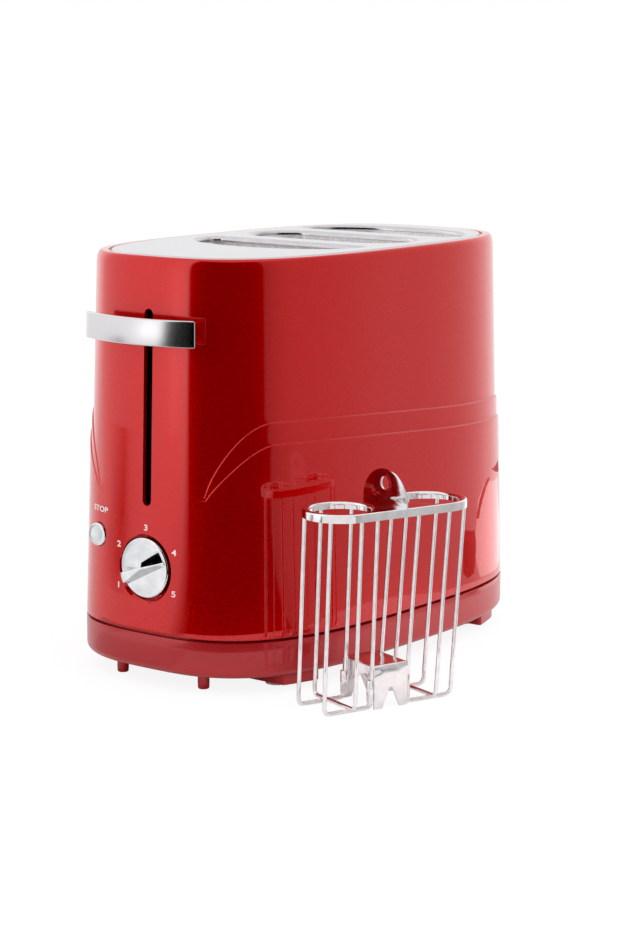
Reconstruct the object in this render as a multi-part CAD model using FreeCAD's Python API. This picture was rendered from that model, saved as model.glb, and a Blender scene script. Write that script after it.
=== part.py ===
"""Hot dog toaster: a tall oval toaster for two buns, with a loose wire basket for two hot dogs.

Millimetres.  X is the width, Y the length, Z up.  The control end faces -Y.
The origin is on the table, under the middle of the body.
"""
import FreeCAD, Part

import math
import os

# ---- body ----
body_length = 250.0        # along Y at the seam
body_width = 148.0         # along X at the seam, over the side fenders
body_height = 209.3        # table to the top of the rim
plan_power = 3.08          # roundness of the oval plan: 2 is an ellipse, more is squarer
wall_lean = 1.55           # degrees that each wall leans in on its way up
wall = 2.2                 # moulded wall
rim_radius = 6.0           # rounded shoulder at the top
rim_inset = 2.0            # how far the shoulder comes in
seam_height = 26.0         # top of the base band
seam_gap = 1.2             # dark groove between the base and the housing

# ---- raised side fenders ----
fender_step = 1.4          # each of the two steps
fender_tip_y = body_length / 2 - 6.2   # where both lines start, from the middle of the body
fender_tip_z = 93.5
fender_upper_z = 131.6     # front end of the upper line's straight stretch
fender_upper_run = 24.0    # length of its curve
fender_upper_power = 0.6   # how early the curve rises
fender_lower_z = 120.8
fender_lower_run = 25.0
fender_lower_power = 0.75
fender_fall = 8.2          # the straight stretches fall this much towards the rear
fender_sink = 0.4          # the fender layers dive this far into the end walls

# ---- base ----
base_bottom = 7.9          # underside of the base above the table
base_wall = 2.5
base_floor = 2.5
base_round = 4.0           # rounded lower edge
lip_height = 5.0           # inner lip that locates the housing
lip_wall = 1.6
vent_slit = 3.0
vent_pitch = 9.0
vent_half = 24.0
vent_count = 9             # under the tray
joint_gap = 0.3            # between parts that only touch

# ---- lid plate and its openings ----
lid_inset = 6.4            # lid edge inside the outer wall
lid_gap = 0.5              # dark line round the lid
lid_thickness = 1.2
lid_stand = 0.2            # lid top above the rim
ledge_width = 3.0          # shelf in the housing that carries the lid
ledge_thickness = 2.0
toast_centre = body_length * 0.1     # middle of the toasting chamber along Y
slot_half_width = 50.0     # bun slot, half its straight edge
slot_near = body_length * 0.14   # straight edges from the middle of the chamber
slot_far = body_length * 0.3     # furthest point of each curved edge
well_half_length = 50.0    # opening for the basket
well_half_width = body_length * 0.084
well_taper = 7.4           # how much narrower its chute is at the lower end
well_pull = 2.0
chute_taper = 9.0          # how much narrower a chute is at its lower end, each side
chute_pull = 5.0           # how far its curved side comes in
chute_sheet = 0.8

# ---- toasting chamber ----
sheet = 1.0                # steel sheet of the chassis
chamber_half = 43.0        # inner face of the side plates
chamber_top = 176.0        # upper frame
chamber_bottom = 28.0      # lower frame
bulkhead_front = body_length * 0.32    # front bulkhead from the middle of the chamber
bulkhead_rear = body_length * 0.306
board_inner = body_length * 0.112    # heater boards from the middle of the chamber
board_outer = body_length * 0.296
board_thickness = 0.8
board_low = 42.0
board_high = 172.0
board_tab = 10.0           # height of a board's side tabs
ribbon_width = 2.4
ribbon_thickness = 0.3
ribbon_turns = 9
guide_wire = 1.6           # diameter of the bun guard wires
guide_offset = 5.0         # from their heater board
guide_pitch = 20.0
guide_count = 4
slit_play = 0.4            # clearance of a tab in its slit

# ---- lever, carriage and latch ----
travel = 80.0              # lever stroke
slot_width = 5.4           # lever slot in the front wall
slot_low = 89.0
slot_high = 184.5
lever_height = 175.5       # middle of the handle at rest
arm_width = 3.0
arm_height = 6.0
handle_stand = 13.05       # front of the handle beyond the front wall
handle_radius = 86.0       # bend of the handle in plan
handle_half = 34.0
handle_height = 13.0
handle_thickness = 2.6
slider_y = body_length * 0.32    # guide rods, forward of the middle of the body
slider_depth = 12.0
slider_half = 22.0
slider_height = 20.0
rod_spread = 15.0
rod_diameter = 5.0
rod_play = 0.05
rod_top = 192.0
bracket_half = 32.0
bracket_thickness = 2.0
yoke_sheet = 1.5
yoke_half = 20.0
yoke_low = 106.0           # crossbar of the yoke at rest
yoke_bar = 12.0
rail_inner = 48.0          # carriage side rails
rail_width = 4.0
rail_height = 8.0
rack_height = 112.0        # middle of the rack wires at rest
rack_wire = 3.0
rack_bar = 2.4             # short bars between the two rack wires
rack_offset = body_length * 0.204    # bun racks from the middle of the chamber
rack_spread = 8.0
rack_bars = 5
rack_bar_pitch = 15.0
rack_slit = 5.0            # slots in the side plates for the rack wires
platform_half_length = 34.0
platform_half_width = 12.0
spring_x = 27.0
spring_radius = 3.2
spring_wire = 0.9
spring_pitch = 4.0
keeper_half = 11.0
keeper_depth = 9.0
keeper_thickness = 3.0
magnet_gap = 0.3
coil_height = 8.0
coil_margin = 1.5

# ---- controls ----
knob_height = 58.5
knob_diameter = 30.0
knob_stand = 0.4           # its face, nearly flush with the wall
knob_gap = 0.8             # behind it
knob_round = 0.5
knob_well = 16.0           # radius of the well it turns in
knob_well_depth = 6.0
knob_well_wall = 1.5
knob_shaft_diameter = 6.0
knob_hole_play = 0.6
grip_reach = 15.3          # half the length of the bar across the knob
grip_width = 6.5
grip_height = 2.2
pointer_angle = 205.0      # degrees, pointing to 1
stop_x = -33.0
stop_height = 70.6
stop_diameter = 11.3
stop_hole_play = 0.3
stop_stand = 2.4
stop_travel = 1.5
stop_flange = 14.0
stop_flange_thickness = 1.5
stop_stem = 4.0
stop_stem_length = 1.4
control_board_half = 40.0
control_board_top = 84.0
control_board_thickness = 1.6
timer_body = 17.0
timer_depth = 8.0
switch_size = 7.0
switch_depth = 1.8

# ---- crumb tray ----
tray_half = 38.0
tray_height = 7.0
tray_sheet = 0.8
tray_handle_height = 9.0
tray_play = 0.4
tray_front_gap = 5.0       # behind the front bulkhead

# ---- feet, screws and cord inlet ----
peg_diameter = 5.8
peg_x = 26.2
peg_y = body_length / 2 - 13.8
foot_pad = 2.6             # height of the pads
foot_pad_radius = 5.5
foot_side = body_width / 2 - 6.0     # outer side of each foot
foot_inset = 3.3           # feet keep this far inside the base band
front_foot = (foot_side - 35.0, foot_side, -body_length * 0.364, -body_length * 0.282)
rear_foot = (foot_side - 35.0, foot_side, body_length * 0.282, body_length * 0.364)
foot_round = 5.0
boss_places = (-body_length * 0.132, body_length * 0.232)   # screw bosses along both side walls
boss_diameter = 9.0
boss_top = 60.0
boss_bite = 1.0            # how far a boss runs into the side wall
screw_diameter = 3.0
screw_head = 6.0
screw_head_height = 2.0
screw_recess = 3.0
screw_length = 40.0
screw_play = 0.1
post_size = 5.0
gland_height = 42.0
gland_diameter = 12.0
gland_flange = 16.0
gland_flange_thickness = 3.0
gland_length = 18.0
cord_radius = 3.5
terminal_half = 14.0
terminal_height = 12.0
terminal_depth = 10.0
terminal_low = 56.0
terminal_way = 3.0
power_switch_x = 33.0
power_switch_half = 6.0
power_switch_height = 19.0

# ---- basket ----
basket_x = 104.7           # middle of its foot, beside the body
basket_y = -77.6
basket_turn = 19.2         # degrees from the Y axis towards +X
basket_skew_along = 3.4    # the springy cage stands a little askew
basket_skew_across = -2.4
basket_height = 96.5       # top of the ring plate
pocket_top = 25.0          # middle of each pocket at the ring
pocket_foot = 23.2         # middle of each pocket at the floor
pocket_hole = 15.0         # radius of each hole
ring_half_width = 18.4
ring_sheet = 1.0
ring_skirt = 4.0
collar_drop = 3.0
cage_radius = 17.2
cage_angle = 40.0          # of the wires that run along a pocket
cage_wire = 2.0
cage_bend = 3.0            # bend at the floor
cage_weld = 0.9            # rise of the crossing wire, in wire diameters
tab_half = 15.5
tab_height = 18.5
tab_hole = 3.15
tab_hole_height = 11.0
bracket_length = 19.3      # foot bracket, along the basket
bracket_width = 27.0
bracket_height = 21.0
bracket_sheet = 1.0
notch_half = 5.5
notch_height = 10.5

os.makedirs("parts", exist_ok=True)


# ---- helpers ----
def vec(x, y, z):
    return FreeCAD.Vector(x, y, z)


def block(x0, x1, y0, y1, z0, z1):
    return Part.makeBox(x1 - x0, y1 - y0, z1 - z0, vec(x0, y0, z0))


def pin(radius, x, y, z, length, direction=(0, 0, 1)):
    return Part.makeCylinder(radius, length, vec(x, y, z), vec(*direction))


def joined(shapes):
    return shapes[0].multiFuse(shapes[1:]).removeSplitter()


def group(shapes):
    return Part.makeCompound(shapes)


def both_sides(shape):
    return group([shape, shape.mirror(vec(0, 0, 0), vec(1, 0, 0))])


def prism(points, direction):
    wire = Part.makePolygon(points + [points[0]])
    return Part.Face(wire).extrude(direction)


def oval_wire(half_x, half_y, z):
    """Closed oval, a superellipse, at height z."""
    points = []
    steps = 40
    for i in range(steps):
        angle = 2 * math.pi * i / steps
        c = math.cos(angle)
        s = math.sin(angle)
        reach = (abs(c) ** plan_power + abs(s) ** plan_power) ** (-1 / plan_power)
        points.append(vec(half_x * reach * c, half_y * reach * s, z))
    curve = Part.BSplineCurve()
    curve.interpolate(points, PeriodicFlag=True)
    return Part.Wire([curve.toShape()])


def oval_solid(sections):
    """Straight-sided solid through (half_x, half_y, z) sections."""
    return Part.makeLoft([oval_wire(*section) for section in sections], True, True)


def lean_at(z):
    return math.tan(math.radians(wall_lean)) * (z - seam_height)


def core_half(z, inset=0.0):
    """Half width and half length of the plain body at height z."""
    half_x = body_width / 2 - 2 * fender_step - lean_at(z) - inset
    return half_x, body_length / 2 - lean_at(z) - inset


def end_wall(x, z, inset=0.0):
    """Distance of the end walls from the middle, at width x and height z."""
    half_x, half_y = core_half(z, inset)
    return half_y * (1 - abs(x / half_x) ** plan_power) ** (1 / plan_power)


def side_wall(y, z, inset=0.0):
    """Distance of the side walls from the middle, at length y and height z."""
    half_x, half_y = core_half(z, inset)
    return half_x * (1 - abs(y / half_y) ** plan_power) ** (1 / plan_power)


def screw_places():
    places = []
    for y in boss_places:
        x = side_wall(y, boss_top, wall) - boss_diameter / 2 + boss_bite
        places += [(-x, y), (x, y)]
    return places


def stadium_z(half_length, half_width, y, z0, z1):
    """Slab with round ends, long in X."""
    straight = half_length - half_width
    middle = block(-straight, straight, y - half_width, y + half_width, z0, z1)
    ends = [pin(half_width, x, y, z0, z1 - z0) for x in (-straight, straight)]
    return joined([middle] + ends)


# ---- housing ----
lid_top = body_height + lid_stand
lid_bottom = lid_top - lid_thickness
ledge_bottom = lid_bottom - ledge_thickness
housing_bottom = seam_height + seam_gap
lip_top = housing_bottom + lip_height
well_start = end_wall(0, knob_height) - wall / 2
well_floor = end_wall(0, knob_height) - knob_well_depth
boss_low = lip_top + joint_gap


def fender_edge(level, run, power):
    """Points of one fender line in the YZ plane, from its tip up to the straight stretch."""
    points = []
    steps = 6
    for i in range(steps + 1):
        share = i / steps
        y = -fender_tip_y + run * share ** (1 / power)
        rise = (level - fender_tip_z) * math.sin(math.pi / 2 * share)
        points.append((y, fender_tip_z + rise))
    return points


def fender_region(level, run, power):
    """Everything below one fender line, right through the body along X."""
    rising = fender_edge(level, run, power)
    left = [vec(-body_width, y, z) for y, z in rising]
    right = [vec(-body_width, -y, z - fender_fall) for y, z in reversed(rising)]
    front = Part.BSplineCurve()
    front.interpolate(left)
    back = Part.BSplineCurve()
    back.interpolate(right)
    low_front = vec(-body_width, left[0].y, 0)
    low_back = vec(-body_width, -left[0].y, 0)
    edges = [
        front.toShape(),
        Part.makeLine(left[-1], right[0]),
        back.toShape(),
        Part.makeLine(right[-1], low_back),
        Part.makeLine(low_back, low_front),
        Part.makeLine(low_front, left[0]),
    ]
    return Part.Face(Part.Wire(edges)).extrude(vec(2 * body_width, 0, 0))


def fender_layer(steps, level, run, power):
    low_x, low_y = core_half(housing_bottom)
    high = level + rim_radius
    high_x, high_y = core_half(high)
    extra = steps * fender_step
    layer = oval_solid([
        (low_x + extra, low_y - fender_sink, housing_bottom),
        (high_x + extra, high_y - fender_sink, high),
    ])
    return layer.common(fender_region(level, run, power))


def outer_body():
    """The plain drafted body with its rounded shoulder."""
    shoulder = body_height - rim_radius
    sections = [(*core_half(housing_bottom), housing_bottom)]
    for degrees in (0, 30, 55, 75, 90):
        angle = math.radians(degrees)
        z = shoulder + rim_radius * math.sin(angle)
        inset = rim_inset * (1 - math.cos(angle))
        sections.append((*core_half(z, inset), z))
    return oval_solid(sections)


def make_housing():
    body = joined([
        outer_body(),
        fender_layer(1, fender_upper_z, fender_upper_run, fender_upper_power),
        fender_layer(2, fender_lower_z, fender_lower_run, fender_lower_power),
    ])
    lid_x, lid_y = core_half(lid_top, lid_inset)
    low = housing_bottom - 1
    cavity = oval_solid([
        (*core_half(low, wall), low),
        (*core_half(ledge_bottom, wall), ledge_bottom),
    ])
    seat = oval_solid([
        (lid_x + lid_gap, lid_y + lid_gap, lid_bottom),
        (lid_x + lid_gap, lid_y + lid_gap, body_height + 1),
    ])
    window = oval_solid([
        (lid_x - ledge_width, lid_y - ledge_width, ledge_bottom - 1),
        (lid_x - ledge_width, lid_y - ledge_width, lid_bottom + 1),
    ])
    body = body.cut(cavity).cut(seat).cut(window)
    bosses = [pin(boss_diameter / 2, x, y, boss_low, boss_top - boss_low)
              for x, y in screw_places()]
    inside = oval_solid([
        (*core_half(low, wall / 2), low),
        (*core_half(boss_top, wall / 2), boss_top),
    ])
    cup = pin(knob_well + knob_well_wall, 0, -well_start, knob_height,
              knob_well_depth + knob_well_wall - wall / 2, (0, 1, 0))
    body = joined([body, cup] + [boss.common(inside) for boss in bosses])
    screw_hole = screw_diameter / 2 + screw_play
    for x, y in screw_places():
        body = body.cut(pin(screw_hole, x, y, low, boss_top - low - wall))
    lever_slot = slot_cut(slot_width, slot_low, slot_high)
    holes = [
        pin(knob_well, 0, -body_length, knob_height, body_length - well_floor, (0, 1, 0)),
        front_hole(knob_shaft_diameter / 2 + knob_hole_play, 0, knob_height),
        front_hole(stop_diameter / 2 + stop_hole_play, stop_x, stop_height),
        pin(gland_diameter / 2, 0, body_length / 4, gland_height, body_length / 2, (0, 1, 0)),
    ]
    return body.cut(lever_slot).cut(group(holes))


def front_hole(radius, x, z):
    return pin(radius, x, -body_length, z, body_length - slider_y, (0, 1, 0))


def slot_cut(width, low, high):
    """Upright slot with round ends through the front wall."""
    radius = width / 2
    start = -body_length
    length = body_length - slider_y
    middle = block(-radius, radius, start, start + length, low + radius, high - radius)
    ends = [pin(radius, 0, start, z, length, (0, 1, 0)) for z in (low + radius, high - radius)]
    return joined([middle] + ends)


# ---- base ----
floor_top = base_bottom + base_floor
front_plate_y = toast_centre - bulkhead_front
rear_plate_y = toast_centre + bulkhead_rear
side_outer = chamber_half + sheet


def base_section(z, inset=0.0):
    return body_width / 2 - inset, body_length / 2 - inset, z


def base_outer():
    sections = []
    for degrees in (0, 30, 60, 90):
        angle = math.radians(degrees)
        z = base_bottom + base_round * (1 - math.cos(angle))
        sections.append(base_section(z, base_round * (1 - math.sin(angle))))
    sections.append(base_section(seam_height))
    return oval_solid(sections)


def tray_cut():
    """Way out for the crumb tray and its handle, through the rear wall of the base."""
    half = tray_half + tray_play
    top = floor_top + joint_gap + tray_handle_height + tray_play
    return block(-half, half, body_length / 4, body_length, floor_top, top)


def make_base():
    lip_x, lip_y = core_half(housing_bottom, wall + joint_gap)
    top_x, top_y = core_half(lip_top, wall + joint_gap)
    lip = oval_solid([
        (lip_x, lip_y, floor_top),
        (lip_x, lip_y, housing_bottom),
        (top_x, top_y, lip_top),
    ])
    shell = joined([base_outer(), lip])
    hollow = oval_solid([
        (lip_x - lip_wall, lip_y - lip_wall, floor_top),
        (top_x - lip_wall, top_y - lip_wall, lip_top + 1),
    ])
    shell = shell.cut(hollow).cut(tray_cut())
    posts = []
    for y in post_places():
        for side in (-1, 1):
            x = side * (chamber_half + sheet / 2)
            half = post_size / 2
            posts.append(block(x - half, x + half, y - half, y + half, floor_top, chamber_bottom))
    sleeves = [pin(boss_diameter / 2, x, y, floor_top, lip_top - floor_top)
               for x, y in screw_places()]
    shell = joined([shell] + posts + sleeves)
    for x, y in screw_places():
        shell = shell.cut(pin(screw_diameter / 2 + screw_play, x, y, 0, lip_top + 1))
        shell = shell.cut(pin(screw_head / 2 + screw_play, x, y, 0, base_bottom + screw_recess))
    return shell.cut(group(vent_cuts()))


def post_places():
    ends = [front_plate_y + post_size, rear_plate_y - post_size]
    return [ends[0], (ends[0] + ends[1]) / 2, ends[1]]


def vent_cuts():
    """Air slots in the floor, under the mechanism and under the tray."""
    first = toast_centre - vent_pitch * (vent_count - 1) / 2
    places = [first + vent_pitch * i for i in range(vent_count)]
    places += [front_plate_y - vent_pitch, -slider_y - slider_depth - vent_pitch]
    return [block(-vent_half, vent_half, y, y + vent_slit, 0, floor_top + 1) for y in places]


def make_pegs():
    return both_sides(pin(peg_diameter / 2, peg_x, -peg_y, 0, base_bottom))


def foot_block(size):
    """Block foot whose outer side follows the oval of the base."""
    foot = block(*size, foot_pad, base_bottom)
    upright = [edge for edge in foot.Edges if edge.BoundBox.ZLength > 0.1]
    plan = oval_solid([base_section(0, foot_inset), base_section(base_bottom, foot_inset)])
    return foot.makeFillet(foot_round, upright).common(plan)


def make_feet():
    return both_sides(group([foot_block(front_foot), foot_block(rear_foot)]))


def make_pads():
    pads = [pin(foot_pad_radius, (x0 + x1) / 2 - foot_inset, (y0 + y1) / 2, 0, foot_pad)
            for x0, x1, y0, y1 in (front_foot, rear_foot)]
    return both_sides(group(pads))


def make_screws():
    screws = []
    seat = base_bottom + screw_recess
    for x, y in screw_places():
        head = pin(screw_head / 2, x, y, seat - screw_head_height, screw_head_height)
        shank = pin(screw_diameter / 2, x, y, seat, screw_length)
        screws.append(joined([head, shank]))
    return group(screws)


# ---- lid and chutes ----
def d_wire(direction, half_width, near, far, z):
    """Half-moon outline: a straight edge near the middle and a curved edge away from it."""
    corner = 6.0
    start = toast_centre + direction * near
    depth = far - near - corner
    points = []
    steps = 12
    for i in range(steps + 1):
        angle = math.pi * i / steps
        y = start + direction * (corner + depth * math.sin(angle) ** 0.85)
        points.append(vec(half_width * math.cos(angle), y, z))
    curve = Part.BSplineCurve()
    curve.interpolate(points)
    left = vec(-half_width, start + direction * corner, z)
    right = vec(half_width, start + direction * corner, z)
    low_left = vec(-half_width + corner, start, z)
    low_right = vec(half_width - corner, start, z)
    bend = corner * (1 - math.sqrt(0.5))
    mid_left = vec(-half_width + bend, start + direction * bend, z)
    mid_right = vec(half_width - bend, start + direction * bend, z)
    return Part.Wire([
        curve.toShape(),
        Part.Arc(left, mid_left, low_left).toShape(),
        Part.makeLine(low_left, low_right),
        Part.Arc(low_right, mid_right, right).toShape(),
    ])


def bun_funnel(direction, grow, extra):
    """Tapered half-moon solid from the chamber up to the lid."""
    low = chamber_top + sheet + joint_gap - extra
    high = lid_bottom + extra
    return Part.makeLoft([
        d_wire(direction, slot_half_width - chute_taper + grow, slot_near - grow,
               slot_far - chute_pull + grow, low),
        d_wire(direction, slot_half_width + grow, slot_near - grow, slot_far + grow, high),
    ], True, True)


def make_bun_chute(direction):
    return bun_funnel(direction, 0, 0).cut(bun_funnel(direction, -chute_sheet, 1.0))


def stadium_wire(half_length, half_width, y, z):
    straight = half_length - half_width
    a = vec(-straight, y - half_width, z)
    b = vec(straight, y - half_width, z)
    c = vec(straight, y + half_width, z)
    d = vec(-straight, y + half_width, z)
    return Part.Wire([
        Part.makeLine(a, b),
        Part.Arc(b, vec(half_length, y, z), c).toShape(),
        Part.makeLine(c, d),
        Part.Arc(d, vec(-half_length, y, z), a).toShape(),
    ])


def well_funnel(grow, extra):
    low = chamber_top + sheet + joint_gap - extra
    high = lid_bottom + extra
    return Part.makeLoft([
        stadium_wire(well_half_length - well_taper + grow, well_half_width - well_pull + grow,
                     toast_centre, low),
        stadium_wire(well_half_length + grow, well_half_width + grow, toast_centre, high),
    ], True, True)


def make_basket_chute():
    return well_funnel(0, 0).cut(well_funnel(-chute_sheet, 1.0))


def make_lid():
    lid_x, lid_y = core_half(lid_top, lid_inset)
    lid = oval_solid([(lid_x, lid_y, lid_bottom), (lid_x, lid_y, lid_top)])
    for direction in (-1, 1):
        opening = d_wire(direction, slot_half_width - chute_sheet, slot_near + chute_sheet,
                         slot_far - chute_sheet, lid_bottom - 1)
        lid = lid.cut(Part.Face(opening).extrude(vec(0, 0, lid_thickness + 2)))
    well = stadium_z(well_half_length - chute_sheet, well_half_width - chute_sheet, toast_centre,
                     lid_bottom - 1, lid_top + 1)
    return lid.cut(well)


# ---- chassis ----
board_places = [toast_centre + offset
                for offset in (-board_outer, -board_inner, board_inner, board_outer)]
guide_sides = (1, -1, 1, -1)
rack_places = [toast_centre - rack_offset, toast_centre, toast_centre + rack_offset]
rack_lines = [place + side * rack_spread for place in rack_places for side in (-1, 1)]


def make_front_bulkhead():
    """Plate at the front of the chamber, with a tongue that carries the rod bracket."""
    plate = block(-side_outer, side_outer, front_plate_y, front_plate_y + sheet,
                  chamber_bottom, chamber_top + sheet)
    tongue = block(-bracket_half, bracket_half, front_plate_y, front_plate_y + sheet,
                   chamber_top, rod_top + bracket_thickness)
    return joined([plate, tongue])


def make_rear_bulkhead():
    return block(-chamber_half, chamber_half, rear_plate_y - sheet, rear_plate_y,
                 chamber_bottom + sheet, chamber_top)


def tab_heights():
    return [board_low + (board_high - board_low) * share - board_tab / 2 for share in (0.15, 0.85)]


def make_side_plate(side):
    x0, x1 = sorted((side * chamber_half, side * side_outer))
    plate = block(x0, x1, front_plate_y + sheet, rear_plate_y, chamber_bottom + sheet, chamber_top)
    for y in rack_lines:
        top = rack_height + rack_slit
        plate = plate.cut(block(x0 - 1, x1 + 1, y - rack_slit / 2, y + rack_slit / 2, 0, top))
    half = board_thickness / 2 + slit_play / 2
    for y in board_places:
        for z in tab_heights():
            plate = plate.cut(block(x0 - 1, x1 + 1, y - half, y + half,
                                    z - slit_play, z + board_tab + slit_play))
    return plate


def zone_cuts(z0, z1):
    """Openings over the two bun zones and the basket zone."""
    half = chamber_half - 1
    edge = 2.0
    cuts = []
    for a, b in ((0, 1), (2, 3)):
        y0 = board_places[a] + guide_offset + guide_wire
        y1 = board_places[b] - guide_offset - guide_wire
        cuts.append(block(-half, half, y0, y1, z0, z1))
    cuts.append(block(-half, half, board_places[1] + edge, board_places[2] - edge, z0, z1))
    return group(cuts)


def make_frame(z):
    plate = block(-side_outer, side_outer, front_plate_y + sheet, rear_plate_y, z, z + sheet)
    return plate.cut(zone_cuts(z - 1, z + sheet + 1))


def make_heater_board(y):
    half = board_thickness / 2
    body = block(-chamber_half + 1, chamber_half - 1, y - half, y + half, board_low, board_high)
    tabs = [block(-side_outer, side_outer, y - half, y + half, z, z + board_tab)
            for z in tab_heights()]
    return joined([body] + tabs)


def make_ribbons():
    rings = []
    first = board_low + 4
    last = board_high - 4 - ribbon_width
    inner_x = chamber_half - 1
    outer_x = inner_x + ribbon_thickness
    inner_y = board_thickness / 2
    outer_y = inner_y + ribbon_thickness
    heights = []
    for i in range(ribbon_turns):
        z = first + (last - first) * i / (ribbon_turns - 1)
        clear = all(z + ribbon_width < tab or z > tab + board_tab for tab in tab_heights())
        if clear:
            heights.append(z)
    for y in board_places:
        for z in heights:
            ring = block(-outer_x, outer_x, y - outer_y, y + outer_y, z, z + ribbon_width)
            hole = block(-inner_x, inner_x, y - inner_y, y + inner_y, z, z + ribbon_width)
            rings.append(ring.cut(hole))
    return group(rings)


def make_guide_wires():
    wires = []
    low = chamber_bottom + sheet
    for y, side in zip(board_places, guide_sides):
        for i in range(guide_count):
            x = guide_pitch * (i - (guide_count - 1) / 2)
            wires.append(pin(guide_wire / 2, x, y + side * guide_offset, low, chamber_top - low))
    return group(wires)


def make_bus_bars():
    thickness = 1.2
    y0 = board_places[0] - 2
    y1 = board_places[3] + 1
    z = tab_heights()[1]
    return both_sides(block(side_outer, side_outer + thickness, y0, y1, z, z + board_tab / 2))


def make_terminal_block():
    block_body = block(-terminal_half, terminal_half, rear_plate_y, rear_plate_y + terminal_depth,
                       terminal_low, terminal_low + terminal_height)
    for i in range(3):
        x = (i - 1) * terminal_half * 0.6
        block_body = block_body.cut(pin(terminal_way / 2, x, rear_plate_y + terminal_depth / 2,
                                        terminal_low + terminal_way, terminal_height))
    return block_body


def make_gland():
    outside = end_wall(0, gland_height)
    start = outside - gland_length + gland_flange_thickness
    bush = pin(gland_diameter / 2, 0, start, gland_height, gland_length, (0, 1, 0))
    flange = pin(gland_flange / 2, 0, outside + joint_gap, gland_height,
                 gland_flange_thickness - joint_gap, (0, 1, 0))
    cord_way = pin(cord_radius, 0, start - 1, gland_height, gland_length + 2, (0, 1, 0))
    return joined([bush, flange]).cut(cord_way)


# ---- mechanism ----
yoke_y = -slider_y + slider_depth / 2
handle_reach = end_wall(0, lever_height) + handle_stand


def make_guide_rods():
    return both_sides(pin(rod_diameter / 2, rod_spread, -slider_y, floor_top, rod_top - floor_top))


def make_rod_bracket():
    return block(-bracket_half, bracket_half, -slider_y - slider_depth / 2, front_plate_y,
                 rod_top, rod_top + bracket_thickness)


def make_slider():
    body = block(-slider_half, slider_half, -slider_y - slider_depth / 2, yoke_y,
                 lever_height - slider_height / 2, lever_height + slider_height / 2)
    for x in (-rod_spread, rod_spread):
        body = body.cut(pin(rod_diameter / 2 + rod_play, x, -slider_y, 0, body_height))
    return body


def make_yoke():
    stem = block(-yoke_half, yoke_half, yoke_y, yoke_y + yoke_sheet,
                 yoke_low, lever_height + slider_height / 2)
    reach = rail_inner + rail_width
    bar = block(-reach, reach, yoke_y, yoke_y + yoke_sheet, yoke_low, yoke_low + yoke_bar)
    return joined([stem, bar])


def make_rails():
    end = rack_lines[-1] + rack_wire
    rail = block(rail_inner, rail_inner + rail_width, yoke_y + yoke_sheet, end,
                 rack_height - rail_height / 2, rack_height + rail_height / 2)
    return both_sides(rail)


def rack_cross_wires(place):
    return [pin(rack_wire / 2, -rail_inner, place + side * rack_spread, rack_height,
                2 * rail_inner, (1, 0, 0)) for side in (-1, 1)]


def make_bun_rack(place):
    bars = []
    for i in range(rack_bars):
        x = rack_bar_pitch * (i - (rack_bars - 1) / 2)
        bars.append(pin(rack_bar / 2, x, place - rack_spread, rack_height,
                        2 * rack_spread, (0, 1, 0)))
    return joined(rack_cross_wires(place) + bars)


def make_basket_platform():
    top = rack_height + rack_wire / 2
    plate = block(-platform_half_length, platform_half_length,
                  toast_centre - platform_half_width, toast_centre + platform_half_width,
                  rack_height, top + sheet)
    return joined(rack_cross_wires(toast_centre) + [plate])


def make_keeper():
    return block(-keeper_half, keeper_half, yoke_y + yoke_sheet - keeper_depth, yoke_y + yoke_sheet,
                 yoke_low - keeper_thickness, yoke_low)


magnet_top = yoke_low - keeper_thickness - travel - magnet_gap


def make_magnet_core():
    y1 = yoke_y + yoke_sheet
    y0 = y1 - keeper_depth
    leg = keeper_depth / 2
    back = block(-keeper_half, keeper_half, y0, y1, floor_top, floor_top + 2)
    legs = [block(-keeper_half, -keeper_half + leg, y0, y1, floor_top, magnet_top),
            block(keeper_half - leg, keeper_half, y0, y1, floor_top, magnet_top)]
    return joined([back] + legs)


def make_magnet_coil():
    y1 = yoke_y + yoke_sheet
    y0 = y1 - keeper_depth
    leg = keeper_depth / 2
    z0 = floor_top + 2
    outer = block(keeper_half - leg - coil_margin, keeper_half + coil_margin / 3,
                  y0 - coil_margin, y1 + coil_margin, z0, z0 + coil_height)
    return outer.cut(block(keeper_half - leg, keeper_half, y0, y1, z0, z0 + coil_height))


def make_springs():
    low = yoke_low + yoke_bar
    height = rod_top - low
    y = yoke_y + yoke_sheet / 2
    springs = []
    for x in (-spring_x, spring_x):
        helix = Part.makeHelix(spring_pitch, height - spring_wire, spring_radius)
        section = Part.Wire([Part.makeCircle(spring_wire / 2, vec(spring_radius, 0, 0), vec(0, 1, 0))])
        coil = Part.Wire(helix).makePipeShell([section], True, True)
        coil.translate(vec(x, y, low + spring_wire / 2))
        springs.append(coil)
    return group(springs)


def make_arm():
    arm = block(-arm_width / 2, arm_width / 2, -handle_reach, -slider_y - slider_depth / 2,
                lever_height - arm_height / 2, lever_height + arm_height / 2)
    return arm.cut(handle_ring(handle_radius, body_height)).common(
        pin(handle_radius, 0, handle_radius - handle_reach, 0, body_height))


def handle_ring(radius, height):
    """Ring that the handle is a stretch of."""
    outer = pin(radius, 0, radius - handle_reach, 0, height)
    inner = pin(radius - handle_thickness, 0, radius - handle_reach, 0, height)
    return outer.cut(inner)


def make_handle():
    ring = handle_ring(handle_radius, body_height)
    stretch = block(-handle_half, handle_half, -body_length, -handle_reach + handle_radius / 2,
                    lever_height - handle_height / 2, lever_height + handle_height / 2)
    return ring.common(stretch)


# ---- controls ----
stop_wall = end_wall(stop_x, stop_height)
stop_outer_wall = end_wall(abs(stop_x) + stop_flange / 2 + 1, stop_height + stop_flange / 2, wall)
stop_flange_front = -stop_outer_wall + joint_gap
stop_stem_start = stop_flange_front + stop_flange_thickness
board_face = stop_stem_start + stop_stem_length + joint_gap + stop_travel + switch_depth
knob_back = -well_floor - knob_gap
knob_front = -end_wall(0, knob_height) - knob_stand


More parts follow.
